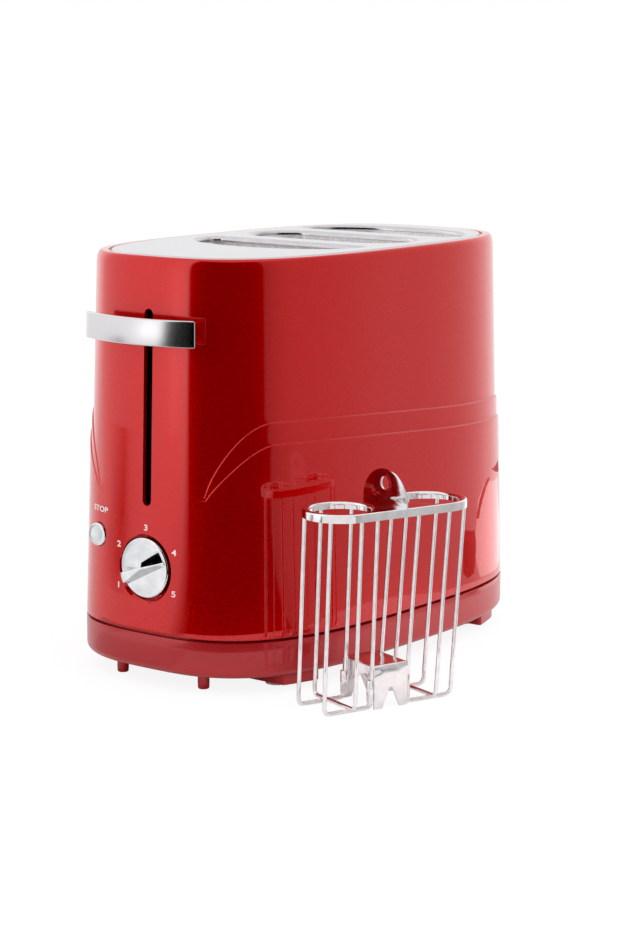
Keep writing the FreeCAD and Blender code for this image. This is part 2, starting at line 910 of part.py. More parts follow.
def make_control_board():
    return block(-control_board_half, control_board_half, board_face,
                 board_face + control_board_thickness, floor_top, control_board_top)


def make_timer():
    half = timer_body / 2
    body = block(-half, half, board_face - timer_depth, board_face,
                 knob_height - half, knob_height + half)
    bore = pin(knob_shaft_diameter / 2 + rod_play, 0, board_face - timer_depth - 1, knob_height,
               timer_depth, (0, 1, 0))
    return body.cut(bore)


def make_knob_shaft():
    start = knob_back
    end = board_face - 2
    return pin(knob_shaft_diameter / 2, 0, start, knob_height, end - start, (0, 1, 0))


def make_knob():
    disc = pin(knob_diameter / 2, 0, knob_front, knob_height, knob_back - knob_front, (0, 1, 0))
    rim = [edge for edge in disc.Edges
           if edge.BoundBox.YLength < 0.01 and abs(edge.BoundBox.YMin - knob_front) < 0.01]
    disc = disc.makeFillet(knob_round, rim)
    grip = block(-grip_reach, grip_reach, knob_front - grip_height, knob_front + 1,
                 knob_height - grip_width / 2, knob_height + grip_width / 2)
    grip = grip.common(pin(grip_reach, 0, knob_front - grip_height, knob_height,
                           grip_height + 1, (0, 1, 0)))
    grip.rotate(vec(0, 0, knob_height), vec(0, 1, 0), -pointer_angle)
    return joined([disc, grip])


def make_stop_button():
    front = -stop_wall - stop_stand
    cap = pin(stop_diameter / 2, stop_x, front, stop_height, stop_flange_front - front, (0, 1, 0))
    rim = [edge for edge in cap.Edges
           if edge.BoundBox.YLength < 0.01 and abs(edge.BoundBox.YMin - front) < 0.01]
    cap = cap.makeFillet(stop_stand / 3, rim)
    flange = pin(stop_flange / 2, stop_x, stop_flange_front, stop_height,
                 stop_flange_thickness, (0, 1, 0))
    stem = pin(stop_stem / 2, stop_x, stop_stem_start, stop_height, stop_stem_length, (0, 1, 0))
    return joined([cap, flange, stem])


def make_stop_switch():
    half = switch_size / 2
    return block(stop_x - half, stop_x + half, board_face - switch_depth, board_face,
                 stop_height - half, stop_height + half)


def make_power_switch():
    y1 = yoke_y - joint_gap * 3
    return block(power_switch_x - power_switch_half, power_switch_x + power_switch_half,
                 y1 - power_switch_half, y1, floor_top, floor_top + power_switch_height)


# ---- crumb tray ----
tray_low = floor_top + joint_gap


def base_ring(thickness):
    inner = oval_solid([base_section(0, thickness), base_section(seam_height, thickness)])
    return base_outer().cut(inner)


def make_tray():
    y1 = end_wall(tray_half, tray_low) - base_wall
    y0 = front_plate_y + tray_front_gap
    outer = block(-tray_half, tray_half, y0, y1, tray_low, tray_low + tray_height)
    inner = block(-tray_half + tray_sheet, tray_half - tray_sheet, y0 + tray_sheet,
                  y1 - tray_sheet, tray_low + tray_sheet, tray_low + tray_height + 1)
    return outer.cut(inner)


def make_tray_handle():
    y1 = end_wall(tray_half, tray_low) - base_wall
    front = block(-tray_half, tray_half, y1, body_length, tray_low, tray_low + tray_handle_height)
    band = front.common(base_ring(base_wall))
    web = block(-tray_half, tray_half, y1, body_length, tray_low, tray_low + tray_sheet * 2)
    web = web.common(oval_solid([base_section(0, base_wall / 2),
                                 base_section(seam_height, base_wall / 2)]))
    return joined([band, web])


# ---- basket ----
def basket_place(shape):
    """From the basket's own frame, X along it and Z up, to its place beside the body."""
    placed = shape.copy()
    placed.rotate(vec(0, 0, 0), vec(0, 0, 1), 90 - basket_turn)
    placed.translate(vec(basket_x, basket_y, 0))
    return placed


def ring_stadium(inset, z0, z1):
    slab = stadium_z(pocket_top + ring_half_width - inset, ring_half_width - inset, 0, z0, z1)
    return moved(slab)


def moved(shape):
    """Over the foot, with the cage's skew."""
    shape.translate(vec(basket_skew_along, basket_skew_across, 0))
    return shape


def make_basket_ring():
    top = basket_height
    low = top - ring_skirt
    ring = ring_stadium(0, low, top).cut(ring_stadium(ring_sheet, low - 1, top - ring_sheet))
    for side in (-1, 1):
        x = side * pocket_top
        collar = moved(pin(pocket_hole + ring_sheet, x, 0, top - collar_drop, collar_drop))
        ring = joined([ring, collar])
        ring = ring.cut(moved(pin(pocket_hole, x, 0, low - 1, ring_skirt + 2)))
    arch = pin(tab_half, -ring_sheet / 2, 0, top, ring_sheet, (1, 0, 0))
    arch = arch.common(block(-1, 1, -tab_half, tab_half, top, top + tab_half))
    squash = FreeCAD.Matrix()
    squash.A33 = tab_height / tab_half
    squash.A34 = top - top * squash.A33
    arch = arch.transformGeometry(squash)
    hole = pin(tab_hole, -2, 0, top + tab_hole_height, 4, (1, 0, 0))
    return basket_place(joined([ring, moved(arch.cut(hole))]))


def cage_point(side, angle, top):
    """Middle of one upright of the cage, at the ring or at the floor."""
    c = cage_radius * math.cos(math.radians(angle))
    s = cage_radius * math.sin(math.radians(angle))
    if top:
        z = basket_height - ring_sheet
        return vec(side * pocket_top + c + basket_skew_along, s + basket_skew_across, z)
    return vec(side * pocket_foot + c, s, cage_wire / 2)


def bend(before, corner, after):
    """Where a rounded corner starts, its middle and where it ends."""
    to_before = (before - corner).normalize()
    to_after = (after - corner).normalize()
    half_turn = to_before.getAngle(to_after) / 2
    reach = cage_bend / math.tan(half_turn)
    inward = (to_before + to_after).normalize()
    middle = corner + inward * (cage_bend / math.sin(half_turn) - cage_bend)
    return corner + to_before * reach, middle, corner + to_after * reach


def cage_loop(side, angles, lift):
    """One wire: down from the ring, under the pocket and up again."""
    raised = vec(0, 0, lift)
    tops = [cage_point(side, angle, True) for angle in angles]
    feet = [cage_point(side, angle, False) + raised for angle in angles]
    a1, a2, a3 = bend(tops[0], feet[0], feet[1])
    b1, b2, b3 = bend(feet[0], feet[1], tops[1])
    path = Part.Wire([
        Part.makeLine(tops[0], a1),
        Part.Arc(a1, a2, a3).toShape(),
        Part.makeLine(a3, b1),
        Part.Arc(b1, b2, b3).toShape(),
        Part.makeLine(b3, tops[1]),
    ])
    section = Part.Wire([Part.makeCircle(cage_wire / 2, tops[0], feet[0] - tops[0])])
    return path.makePipeShell([section], True, False)


def make_cage():
    """Two wires run along each pocket and one crosses over them."""
    pieces = []
    for side in (-1, 1):
        near = cage_loop(side, (cage_angle, 180 - cage_angle), 0)
        far = cage_loop(side, (-cage_angle, cage_angle - 180), 0)
        over = cage_loop(side, (90, -90), cage_wire * cage_weld)
        pieces.append(joined([near, far, over]))
    return basket_place(group(pieces))


def make_basket_foot():
    half_l = bracket_length / 2
    half_w = bracket_width / 2
    outer = block(-half_l, half_l, -half_w, half_w, 0, bracket_height)
    inner = block(-half_l - 1, half_l + 1, -half_w + bracket_sheet, half_w - bracket_sheet,
                  -1, bracket_height - bracket_sheet)
    notch = prism([vec(-notch_half, -bracket_width, 0), vec(notch_half, -bracket_width, 0),
                   vec(0, -bracket_width, notch_height)], vec(0, 2 * bracket_width, 0))
    return basket_place(outer.cut(inner).cut(notch))


pieces = {
    "housing": make_housing(),
    "base_tub": make_base(),
    "top_plate": make_lid(),
    "front_bun_chute": make_bun_chute(-1),
    "rear_bun_chute": make_bun_chute(1),
    "basket_chute": make_basket_chute(),
    "front_bulkhead": make_front_bulkhead(),
    "rear_bulkhead": make_rear_bulkhead(),
    "side_plate_left": make_side_plate(-1),
    "side_plate_right": make_side_plate(1),
    "upper_frame": make_frame(chamber_top),
    "lower_frame": make_frame(chamber_bottom),
    "heater_ribbons": make_ribbons(),
    "bun_guard_wires": make_guide_wires(),
    "bus_bars": make_bus_bars(),
    "terminal_block": make_terminal_block(),
    "cord_gland": make_gland(),
    "guide_rods": make_guide_rods(),
    "rod_bracket": make_rod_bracket(),
    "return_springs": make_springs(),
    "magnet_core": make_magnet_core(),
    "magnet_coil": make_magnet_coil(),
    "control_board": make_control_board(),
    "timer_potentiometer": make_timer(),
    "stop_switch": make_stop_switch(),
    "power_switch": make_power_switch(),
    "front_pegs": make_pegs(),
    "side_feet": make_feet(),
    "foot_pads": make_pads(),
    "base_screws": make_screws(),
    "lever_handle": make_handle(),
    "lever_arm": make_arm(),
    "slider_block": make_slider(),
    "carriage_yoke": make_yoke(),
    "carriage_rails": make_rails(),
    "front_bun_rack": make_bun_rack(rack_places[0]),
    "rear_bun_rack": make_bun_rack(rack_places[2]),
    "basket_platform": make_basket_platform(),
    "keeper_plate": make_keeper(),
    "timer_knob": make_knob(),
    "knob_shaft": make_knob_shaft(),
    "stop_button": make_stop_button(),
    "crumb_tray": make_tray(),
    "tray_handle": make_tray_handle(),
    "basket_ring": make_basket_ring(),
    "basket_cage": make_cage(),
    "basket_foot": make_basket_foot(),
}
for number, place in enumerate(board_places, start=1):
    pieces[f"heater_board_{number}"] = make_heater_board(place)

for name, shape in pieces.items():
    shape.exportStep(f"parts/{name}.step")
    print(name, len(shape.Solids), round(shape.Volume), "valid" if shape.isValid() else "BAD")
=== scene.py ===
"""Hot dog toaster and its loose wire basket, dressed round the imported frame.

+X is to the right seen from the control end, the control end faces -Y and Z is up.
Sizes are in millimetres until a mesh is made.
"""

import math

import bmesh
import bpy
from mathutils import Matrix, Vector


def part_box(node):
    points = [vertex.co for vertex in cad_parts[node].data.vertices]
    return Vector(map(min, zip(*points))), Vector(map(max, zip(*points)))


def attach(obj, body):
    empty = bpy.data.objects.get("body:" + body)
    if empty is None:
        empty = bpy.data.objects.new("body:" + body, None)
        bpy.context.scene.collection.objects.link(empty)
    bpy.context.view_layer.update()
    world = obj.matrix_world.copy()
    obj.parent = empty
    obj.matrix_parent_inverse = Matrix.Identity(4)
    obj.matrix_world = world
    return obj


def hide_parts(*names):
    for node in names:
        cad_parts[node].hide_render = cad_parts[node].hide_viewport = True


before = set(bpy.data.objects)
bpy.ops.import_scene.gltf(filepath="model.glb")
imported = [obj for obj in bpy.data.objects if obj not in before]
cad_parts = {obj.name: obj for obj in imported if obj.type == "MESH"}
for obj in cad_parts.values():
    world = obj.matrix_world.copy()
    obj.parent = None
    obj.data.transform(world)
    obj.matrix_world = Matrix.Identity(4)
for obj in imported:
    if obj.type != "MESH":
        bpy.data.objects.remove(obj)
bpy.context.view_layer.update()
scene = bpy.context.scene
MM = 0.001

# ---- driving sizes ----
plan_power = 3.08          # roundness of the oval plan
seam_half_x = 74.0         # over the fenders
seam_half_y = 125.0
lean_tangent = math.tan(math.radians(1.55))
seam_height = 26.0
housing_bottom = 27.2
body_top = 209.3
rim_radius = 6.0
rim_inset = 2.0            # how far the shoulder comes in
wall = 2.2
column_spacing = 1.9

fender_step = 1.4
fender_tip_y = 118.8
fender_tip_z = 94.6
fender_lower = (121.4, 25.0, 0.75)    # height and length of the curve, how early it rises
fender_upper = (131.8, 24.0, 0.6)
fender_fall = 8.2          # the lines fall this much towards the rear

lid_top = 209.5
lid_bottom = 208.3
ledge_bottom = 206.3
lid_inset = 6.4
lid_gap = 1.2
ledge_width = 3.0
sheet = 0.8

toast_centre = 25.0
slot_half_width = 50.0
slot_near = 35.0
slot_far = 75.0
chute_low = 177.3
chute_taper = 9.0
chute_pull = 5.0
well_half_length = 50.0
well_half_width = 21.0
well_taper = 7.4
well_pull = 2.0

lever_slot_half = 2.7
lever_slot_shift = 0.9     # its play is to the right of the arm
lever_slot_low = 91.7      # middles of its round ends
lever_slot_high = 181.8
lever_height = 174.9
handle_front = 134.0
handle_radius = 86.0
handle_half = 34.6
handle_half_height = 6.5
handle_thickness = 2.6

knob_height = 58.5
knob_radius = 14.85
well_radius = 16.0         # the knob turns in this well
well_depth = 6.0
pointer_angle = 205.0
dial_radius = 20.3         # of the numbers round the knob
shaft_hole = 3.6
cut_inside = 90.0          # holes through the end walls are cut from here
cut_outside = 140.0
gland_hole = 6.0
gland_height = 42.0
stop_x = -33.0
stop_height = 70.6
stop_radius = 5.65
stop_hole = 5.95
stop_stand = 2.4

base_bottom = 7.9
base_round = 4.0
floor_top = 10.4
screw_seat = 10.9
screw_head = 3.0           # radii of the screws' heads, their holes and their sleeves
screw_hole = 3.1
screw_sleeve = 4.5
collar_top = 32.2          # the base's collar inside the housing
collar_inset = 4.1
post_x = 43.5              # posts that carry the chamber
post_places = (-50.0, 23.25, 96.5)
post_half = 2.5
tray_half = 38.0
tray_low = 10.7
tray_high = 19.7
tray_play = 0.4
peg_x = 26.2
peg_y = 111.2
front_foot = (33.0, 68.0, -91.0, -70.5)
rear_foot = (33.0, 68.0, 70.5, 91.0)
foot_pad = 2.6
foot_pad_radius = 5.5
foot_inset = 3.3           # feet keep this far inside the base band

basket_x = 104.7
basket_y = -77.6
basket_turn = 19.2
skew_along = 3.4
skew_across = -2.4
basket_height = 96.5
pocket_top = 25.0
pocket_foot = 23.2
pocket_hole = 15.0
ring_half_width = 18.4
ring_skirt = 4.0
collar_drop = 3.4
tab_half_width = 18.0
tab_height = 16.2
tab_hole = 3.15
tab_hole_height = 9.4
cage_radius = 17.2
cage_wire = 2.0
bracket_half_length = 9.65
bracket_half_width = 13.5
bracket_height = 21.0


# ---- the oval plan ----
def oval(c, s, half_x, half_y):
    """Point of the oval in the direction (c, s)."""
    reach = (abs(c) ** plan_power + abs(s) ** plan_power) ** (-1 / plan_power)
    return half_x * reach * c, half_y * reach * s


def oval_reach(x, half_x, half_y):
    """How far the oval reaches along Y at x, or along X at y with the halves exchanged."""
    return half_y * (1 - abs(x / half_x) ** plan_power) ** (1 / plan_power)


def core_half(z, inset=0.0, steps=0.0):
    """Half width and half length of the body, with so many fender steps."""
    lean = lean_tangent * (z - seam_height)
    half_x = seam_half_x - 2 * fender_step + steps * fender_step - lean - inset
    return half_x, seam_half_y - lean - inset


def end_wall(x, z, inset=0.0, steps=0.0):
    """Distance of the end walls from the middle."""
    return oval_reach(x, *core_half(z, inset, steps))


def smooth_step(value):
    value = min(max(value, 0.0), 1.0)
    return value * value * (3 - 2 * value)


def level_at(pairs, place):
    """Level between (place, level) pairs, along straight lines."""
    for (a0, t0), (a1, t1) in zip(pairs, pairs[1:]):
        if place <= a1:
            return t0 + (t1 - t0) * (place - a0) / (a1 - a0)
    return pairs[-1][1]


def quarter_angles(widths):
    """Angles from the length axis: set widths near the middle, then even steps."""
    half_x, half_y = core_half(fender_tip_z)
    angles = []
    for width in widths:
        ratio = (half_x / width) ** plan_power - 1 if width else math.inf
        angles.append(math.atan(ratio ** (-1 / plan_power)) if width else 0.0)
    start = angles[-1]
    last = oval(math.sin(start), math.cos(start), half_x, half_y)
    travelled = 0.0
    fine_steps = 4000
    for i in range(1, fine_steps):
        angle = start + (math.pi / 2 - start) * i / fine_steps
        here = oval(math.sin(angle), math.cos(angle), half_x, half_y)
        travelled += math.dist(here, last)
        last = here
        if travelled >= column_spacing:
            angles.append(angle)
            travelled = 0.0
    angles[-1] = math.pi / 2
    return angles


slot_widths = [0.0, 1.35, 2.34, lever_slot_half, 3.6, 5.0]


def plan_columns():
    """Columns round the body from the front middle towards +X: (c, s, fixed x or None)."""
    quarter = []
    for i, angle in enumerate(quarter_angles(slot_widths)):
        fixed = slot_widths[i] if i < len(slot_widths) else None
        quarter.append((math.sin(angle), math.cos(angle), fixed))
    columns = [(c, -s, x) for c, s, x in quarter]
    columns += [(c, s, x) for c, s, x in reversed(quarter[:-1])]
    columns += [(-c, s, None if x is None else -x) for c, s, x in quarter[1:]]
    columns += [(-c, -s, None if x is None else -x) for c, s, x in reversed(quarter[1:-1])]
    return columns


columns = plan_columns()


def body_point(column, z, inset=0.0, steps=0.0):
    c, s, fixed = column
    if fixed is None:
        x, y = oval(c, s, *core_half(z, inset, steps))
    else:
        x = fixed + (lever_slot_shift if s < 0 else 0.0)
        y = math.copysign(end_wall(x, z, inset, steps), s)
    return x, y, z


# ---- outlines ----
def arc(x, y, radius, start, end, steps):
    """Points of an arc about (x, y), both ends included, angles in degrees."""
    angles = [math.radians(start + (end - start) * i / steps) for i in range(steps + 1)]
    return [(x + radius * math.cos(angle), y + radius * math.sin(angle)) for angle in angles]


def circle(x, y, radius, steps):
    angles = [2 * math.pi * i / steps for i in range(steps)]
    return [(x + radius * math.cos(angle), y + radius * math.sin(angle)) for angle in angles]


def stadium(straight, y, radius, steps):
    """Two half circles, straight either side of the middle, with straight runs along X."""
    return (arc(straight, y, radius, -90, 90, steps)
            + arc(-straight, y, radius, 90, 270, steps))


# ---- mesh helpers ----
def loft(rings, closed_rings=True, capped=False):
    """Points and faces of the quads between rings of equal length."""
    count = len(rings[0])
    points = [point for ring in rings for point in ring]
    faces = []
    for r in range(len(rings) - 1):
        a = r * count
        b = a + count
        for i in range(count if closed_rings else count - 1):
            j = (i + 1) % count
            faces.append((a + i, a + j, b + j, b + i))
    if capped:
        faces.append(tuple(reversed(range(count))))
        faces.append(tuple(range(len(points) - count, len(points))))
    return points, faces


def merged(*shapes):
    points = []
    faces = []
    for more_points, more_faces in shapes:
        start = len(points)
        points += list(more_points)
        faces += [tuple(start + i for i in face) for face in more_faces]
    return points, faces


def upright(outline, z0, z1):
    """Closed solid that stands on the outline."""
    return loft([[(x, y, z) for x, y in outline] for z in (z0, z1)], capped=True)


def box_shape(x0, x1, y0, y1, z0, z1):
    return upright([(x0, y0), (x1, y0), (x1, y1), (x0, y1)], z0, z1)


def revolved(profile, place, segments=64):
    """Closed solid turned from (radius, height) pairs that start and end on the axis."""
    rings = [[place(u, w, height) for u, w in circle(0, 0, radius, segments)]
             for radius, height in profile[1:-1]]
    points, faces = loft(rings)
    first = len(points)
    points += [place(0, 0, profile[0][1]), place(0, 0, profile[-1][1])]
    last_row = (len(rings) - 1) * segments
    for i in range(segments):
        j = (i + 1) % segments
        faces.append((first, j, i))
        faces.append((first + 1, last_row + i, last_row + j))
    return points, faces


def linked(name, data):
    """Object of the mesh or curve, in the scene."""
    made = bpy.data.objects.new(name, data)
    scene.collection.objects.link(made)
    return made


def linked_bmesh(name, bm):
    mesh = bpy.data.meshes.new(name)
    bm.to_mesh(mesh)
    bm.free()
    return linked(name, mesh)


def new_object(name, shape, outward=True, edges=()):
    points, faces = shape
    mesh = bpy.data.meshes.new(name)
    mesh.from_pydata([Vector(point) * MM for point in points], edges, faces)
    made = linked(name, mesh)
    if outward:
        clean(mesh)
    return made


def clean(mesh):
    """Merges doubles and turns every face outwards."""
    bm = bmesh.new()
    bm.from_mesh(mesh)
    bmesh.ops.remove_doubles(bm, verts=bm.verts, dist=1e-6)
    bmesh.ops.recalc_face_normals(bm, faces=bm.faces)
    bm.to_mesh(mesh)
    bm.free()


def bake(made):
    """Applies the object's modifiers to its mesh."""
    graph = bpy.context.evaluated_depsgraph_get()
    mesh = bpy.data.meshes.new_from_object(made.evaluated_get(graph))
    made.modifiers.clear()
    old = made.data
    made.data = mesh
    bpy.data.meshes.remove(old)
    return made


def combine(made, shapes, operation):
    """Exact Boolean of the object with each closed shape."""
    helpers = []
    for shape in shapes:
        helper = new_object("cutter", shape)
        helpers.append(helper)
        boolean = made.modifiers.new("cut", "BOOLEAN")
        boolean.operation = operation
        boolean.solver = "EXACT"
        boolean.object = helper
    bake(made)
    for helper in helpers:
        bpy.data.objects.remove(helper)
    return made


def soften(made, width, segments, angle):
    bevel = made.modifiers.new("soft edges", "BEVEL")
    bevel.width = width * MM
    bevel.segments = segments
    bevel.limit_method = "ANGLE"
    bevel.angle_limit = math.radians(angle)
    return bake(made)


def thicken(made, thickness, offset=-1.0):
    solid = made.modifiers.new("sheet", "SOLIDIFY")
    solid.thickness = thickness * MM
    solid.offset = offset
    solid.use_even_offset = True
    return bake(made)


def finished(made, material, body, replaced=(), smooth=40.0):
    """Gives a piece its finish, shading and body, and hides the CAD nodes it stands for."""
    made.data.materials.clear()
    made.data.materials.append(material)
    for polygon in made.data.polygons:
        polygon.use_smooth = True
        polygon.material_index = 0
    made.data.set_sharp_from_angle(angle=math.radians(smooth))
    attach(made, body)
    if replaced:
        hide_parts(*replaced)
    return made


# ---- materials ----
def linear(code):
    """Linear colour of an sRGB hex code."""
    values = [int(code[i:i + 2], 16) / 255 for i in (1, 3, 5)]
    return [v / 12.92 if v <= 0.04045 else ((v + 0.055) / 1.055) ** 2.4 for v in values] + [1.0]


def node(tree, kind, links=(), values=None, **settings):
    """Adds one node with its settings, its input values and its links (input, node, output)."""
    made = tree.nodes.new(kind)
    for name, value in settings.items():
        setattr(made, name, value)
    for name, value in (values or {}).items():
        made.inputs[name].default_value = value
    for name, source, output in links:
        tree.links.new(source.outputs[output], made.inputs[name])
    return made


def new_material(name):
    material = bpy.data.materials.new(name)
    material.use_nodes = True
    material.node_tree.nodes.clear()
    return material, material.node_tree


def mottled(name, low, high, feature, values, roughness=None, stretch=(1, 1, 1),
            bump=0.0, bump_height=0.02, grain=None, detail=2.0):
    """Principled material whose colour, and roughness if given, wander between two values.

    feature is the size in millimetres of the wandering, grain that of the relief.
    """
    material, tree = new_material(name)
    place = node(tree, "ShaderNodeTexCoord")
    scaled = node(tree, "ShaderNodeMapping", [("Vector", place, "Object")],
                  {"Scale": stretch})
    noise = node(tree, "ShaderNodeTexNoise", [("Vector", scaled, "Vector")],
                 {"Scale": 1 / (feature * MM), "Detail": detail, "Roughness": 0.55})
    tint = node(tree, "ShaderNodeValToRGB", [("Fac", noise, "Fac")])
    tint.color_ramp.elements[0].position = 0.3
    tint.color_ramp.elements[0].color = linear(low)
    tint.color_ramp.elements[1].position = 0.7
    tint.color_ramp.elements[1].color = linear(high)
    shader = node(tree, "ShaderNodeBsdfPrincipled", [("Base Color", tint, "Color")], values)
    if roughness:
        sheen = node(tree, "ShaderNodeMapRange", [("Value", noise, "Fac")],
                     {"From Min": 0.3, "From Max": 0.7,
                      "To Min": roughness[0], "To Max": roughness[1]})
        tree.links.new(sheen.outputs["Result"], shader.inputs["Roughness"])
    if bump:
        fine = node(tree, "ShaderNodeTexNoise", [("Vector", scaled, "Vector")],
                    {"Scale": 1 / ((grain or feature) * MM), "Detail": 3.0})
        relief = node(tree, "ShaderNodeBump", [("Height", fine, "Fac")],
                      {"Strength": bump, "Distance": bump_height * MM})
        tree.links.new(relief.outputs["Normal"], shader.inputs["Normal"])
    node(tree, "ShaderNodeOutputMaterial", [("Surface", shader, "BSDF")])
    return material


# ABS moulded with red metal flake and a clear gloss coat: a deep red with a rough red glow
# from the flake under a sharp, thin reflection. Real flake is about 0.05 mm; drawn at 0.35 mm.
red_flake_abs = mottled(
    "metallic_red_ABS_gloss_coat", "#C20000", "#D00000", 0.35,
    {"Metallic": 0.7, "Specular IOR Level": 0.0, "Coat Weight": 1.0, "Coat Roughness": 0.02,
     "Coat IOR": 1.5},
    roughness=(0.04, 0.55), bump=0.10, bump_height=0.01, grain=0.3)

# The same ABS without the coat, moulded with a finer satin: the band under the seam.
satin_red_abs = mottled(
    "satin_red_ABS", "#A80512", "#B60A16", 0.5,
    {"Metallic": 0.35, "Coat Weight": 0.6, "Coat Roughness": 0.05},
    roughness=(0.32, 0.40), bump=0.15, bump_height=0.01, grain=0.4)

# Stainless steel sheet, polished along the long side of the lid: bright, cool, with faint
# polishing lines about 0.4 mm apart.
polished_stainless = mottled(
    "polished_stainless_steel", "#C6C3C7", "#D9D6DA", 0.4, {"Metallic": 1.0},
    roughness=(0.14, 0.22), stretch=(0.05, 1, 1), bump=0.05, bump_height=0.01)

# The chute sheet is mill finish, a little darker and softer than the lid.
mill_stainless = mottled(
    "mill_finish_stainless_steel", "#DAD6D6", "#EDE9E9", 3.0, {"Metallic": 0.3},
    roughness=(0.20, 0.32), bump=0.06, bump_height=0.03, grain=1.2)

# Chrome plate on zinc or steel wire: nearly a mirror, faint handling marks some 6 mm across.
bright_chrome = mottled(
    "bright_chrome_plate", "#DADCDF", "#EEEFF1", 6.0, {"Metallic": 1.0},
    roughness=(0.05, 0.12))

# Nickel-chrome plate on drawn wire and folded sheet: pale, with the drawing haze left in it
# and handling marks some 5 mm across.
plated_wire = mottled(
    "nickel_chrome_on_drawn_steel", "#EAE5E6", "#FAF7F8", 5.0, {"Metallic": 1.0},
    roughness=(0.06, 0.14), bump=0.05, bump_height=0.01, grain=0.4)

# Chrome plate over a bead-blasted face: soft reflections with a grain of about 0.2 mm.
satin_chrome = mottled(
    "satin_chrome_plate", "#CFCDCF", "#DDDBDD", 0.3, {"Metallic": 1.0},
    roughness=(0.16, 0.22), bump=0.08, bump_height=0.01, grain=0.25)

# Zinc-plated steel of the chassis: grey, slightly cloudy, spangle about 4 mm.
zinc_steel = mottled(
    "zinc_plated_steel", "#8E9093", "#A6A8AA", 4.0, {"Metallic": 1.0},
    roughness=(0.30, 0.48), bump=0.08, bump_height=0.02, grain=1.0)

# Mica sheet: pale straw, pearly, with flakes some 5 mm across.
mica_sheet = mottled(
    "mica_sheet", "#B5A88C", "#CFC4A8", 5.0, {"Specular IOR Level": 0.6},
    roughness=(0.35, 0.6), bump=0.2, bump_height=0.05, grain=2.0)

# Nichrome ribbon, browned by heat.
nichrome = mottled(
    "nichrome_ribbon", "#6E645C", "#8A7F75", 2.0, {"Metallic": 1.0}, roughness=(0.35, 0.5))

# Paper phenolic circuit board: brown-green, matt, paper grain about 0.8 mm.
circuit_board = mottled(
    "paper_phenolic_board", "#4C5A33", "#5B6A3E", 0.8, {"Roughness": 0.5},
    bump=0.1, bump_height=0.02)

# Glass-filled nylon of switches, gland and slider: black, soft sheen, grain about 0.3 mm.
black_nylon = mottled(
    "black_glass_filled_nylon", "#17181A", "#202123", 0.5, {},
    roughness=(0.38, 0.5), bump=0.15, bump_height=0.02, grain=0.3)

# Enamelled copper wire of the hold-down magnet, turns about 0.4 mm apart.
copper_winding = mottled(
    "enamelled_copper_winding", "#8C4A22", "#B4652F", 0.4, {"Metallic": 0.8},
    roughness=(0.25, 0.35), stretch=(0.1, 0.1, 1), bump=0.5, bump_height=0.1)

# Silicone rubber of the foot pads: pale grey, matt, slightly dusty.
pale_silicone = mottled(
    "pale_silicone_rubber", "#C9C6C2", "#D8D5D1", 2.0, {},
    roughness=(0.6, 0.75), bump=0.1, bump_height=0.02, grain=0.4)

# Pad-printed ink of the lettering: pinkish white, satin, edges a little thin.
white_ink = mottled(
    "pad_printed_white_ink", "#E9D3D3", "#F4E6E6", 0.5, {"Roughness": 0.45})


# ---- housing ----
tip_x = oval_reach(fender_tip_y, *reversed(core_half(fender_tip_z)))
# One step from above: how much of it is reached, and the height off the line.
step_profile = [(0, 0.45), (0.05, 0.18), (0.16, 0.05), (0.35, 0.0), (0.62, -0.03),
                (0.80, -0.10), (0.92, -0.25), (0.985, -0.45), (1, -0.75)]
step_room = 1.6
fade_width = 5.0           # the lines fade over this width past their tips
smear_width = 16.0         # after that their rows spread out below the lever slot
smear_drop = 31.5
smear_factor = 9.0
slope_low = 36.0           # in front of the tips one slow slope takes up both steps
slope_high = 160.0
rows_low = 26
rows_between = 5
rows_high = 34
slot_row_low = 3           # rows of the upper field that end the lever slot
slot_row_high = 28


def fender_height(y, line):
    level, run, power = line
    straight = fender_tip_y - run
    if abs(y) <= straight:
        return level - fender_fall * smooth_step((y + straight) / (2 * straight))
    share = ((fender_tip_y - abs(y)) / run) ** power
    rise = (level - fender_tip_z) * math.sin(math.pi / 2 * share)
    return fender_tip_z + rise - (fender_fall if y > 0 else 0.0)


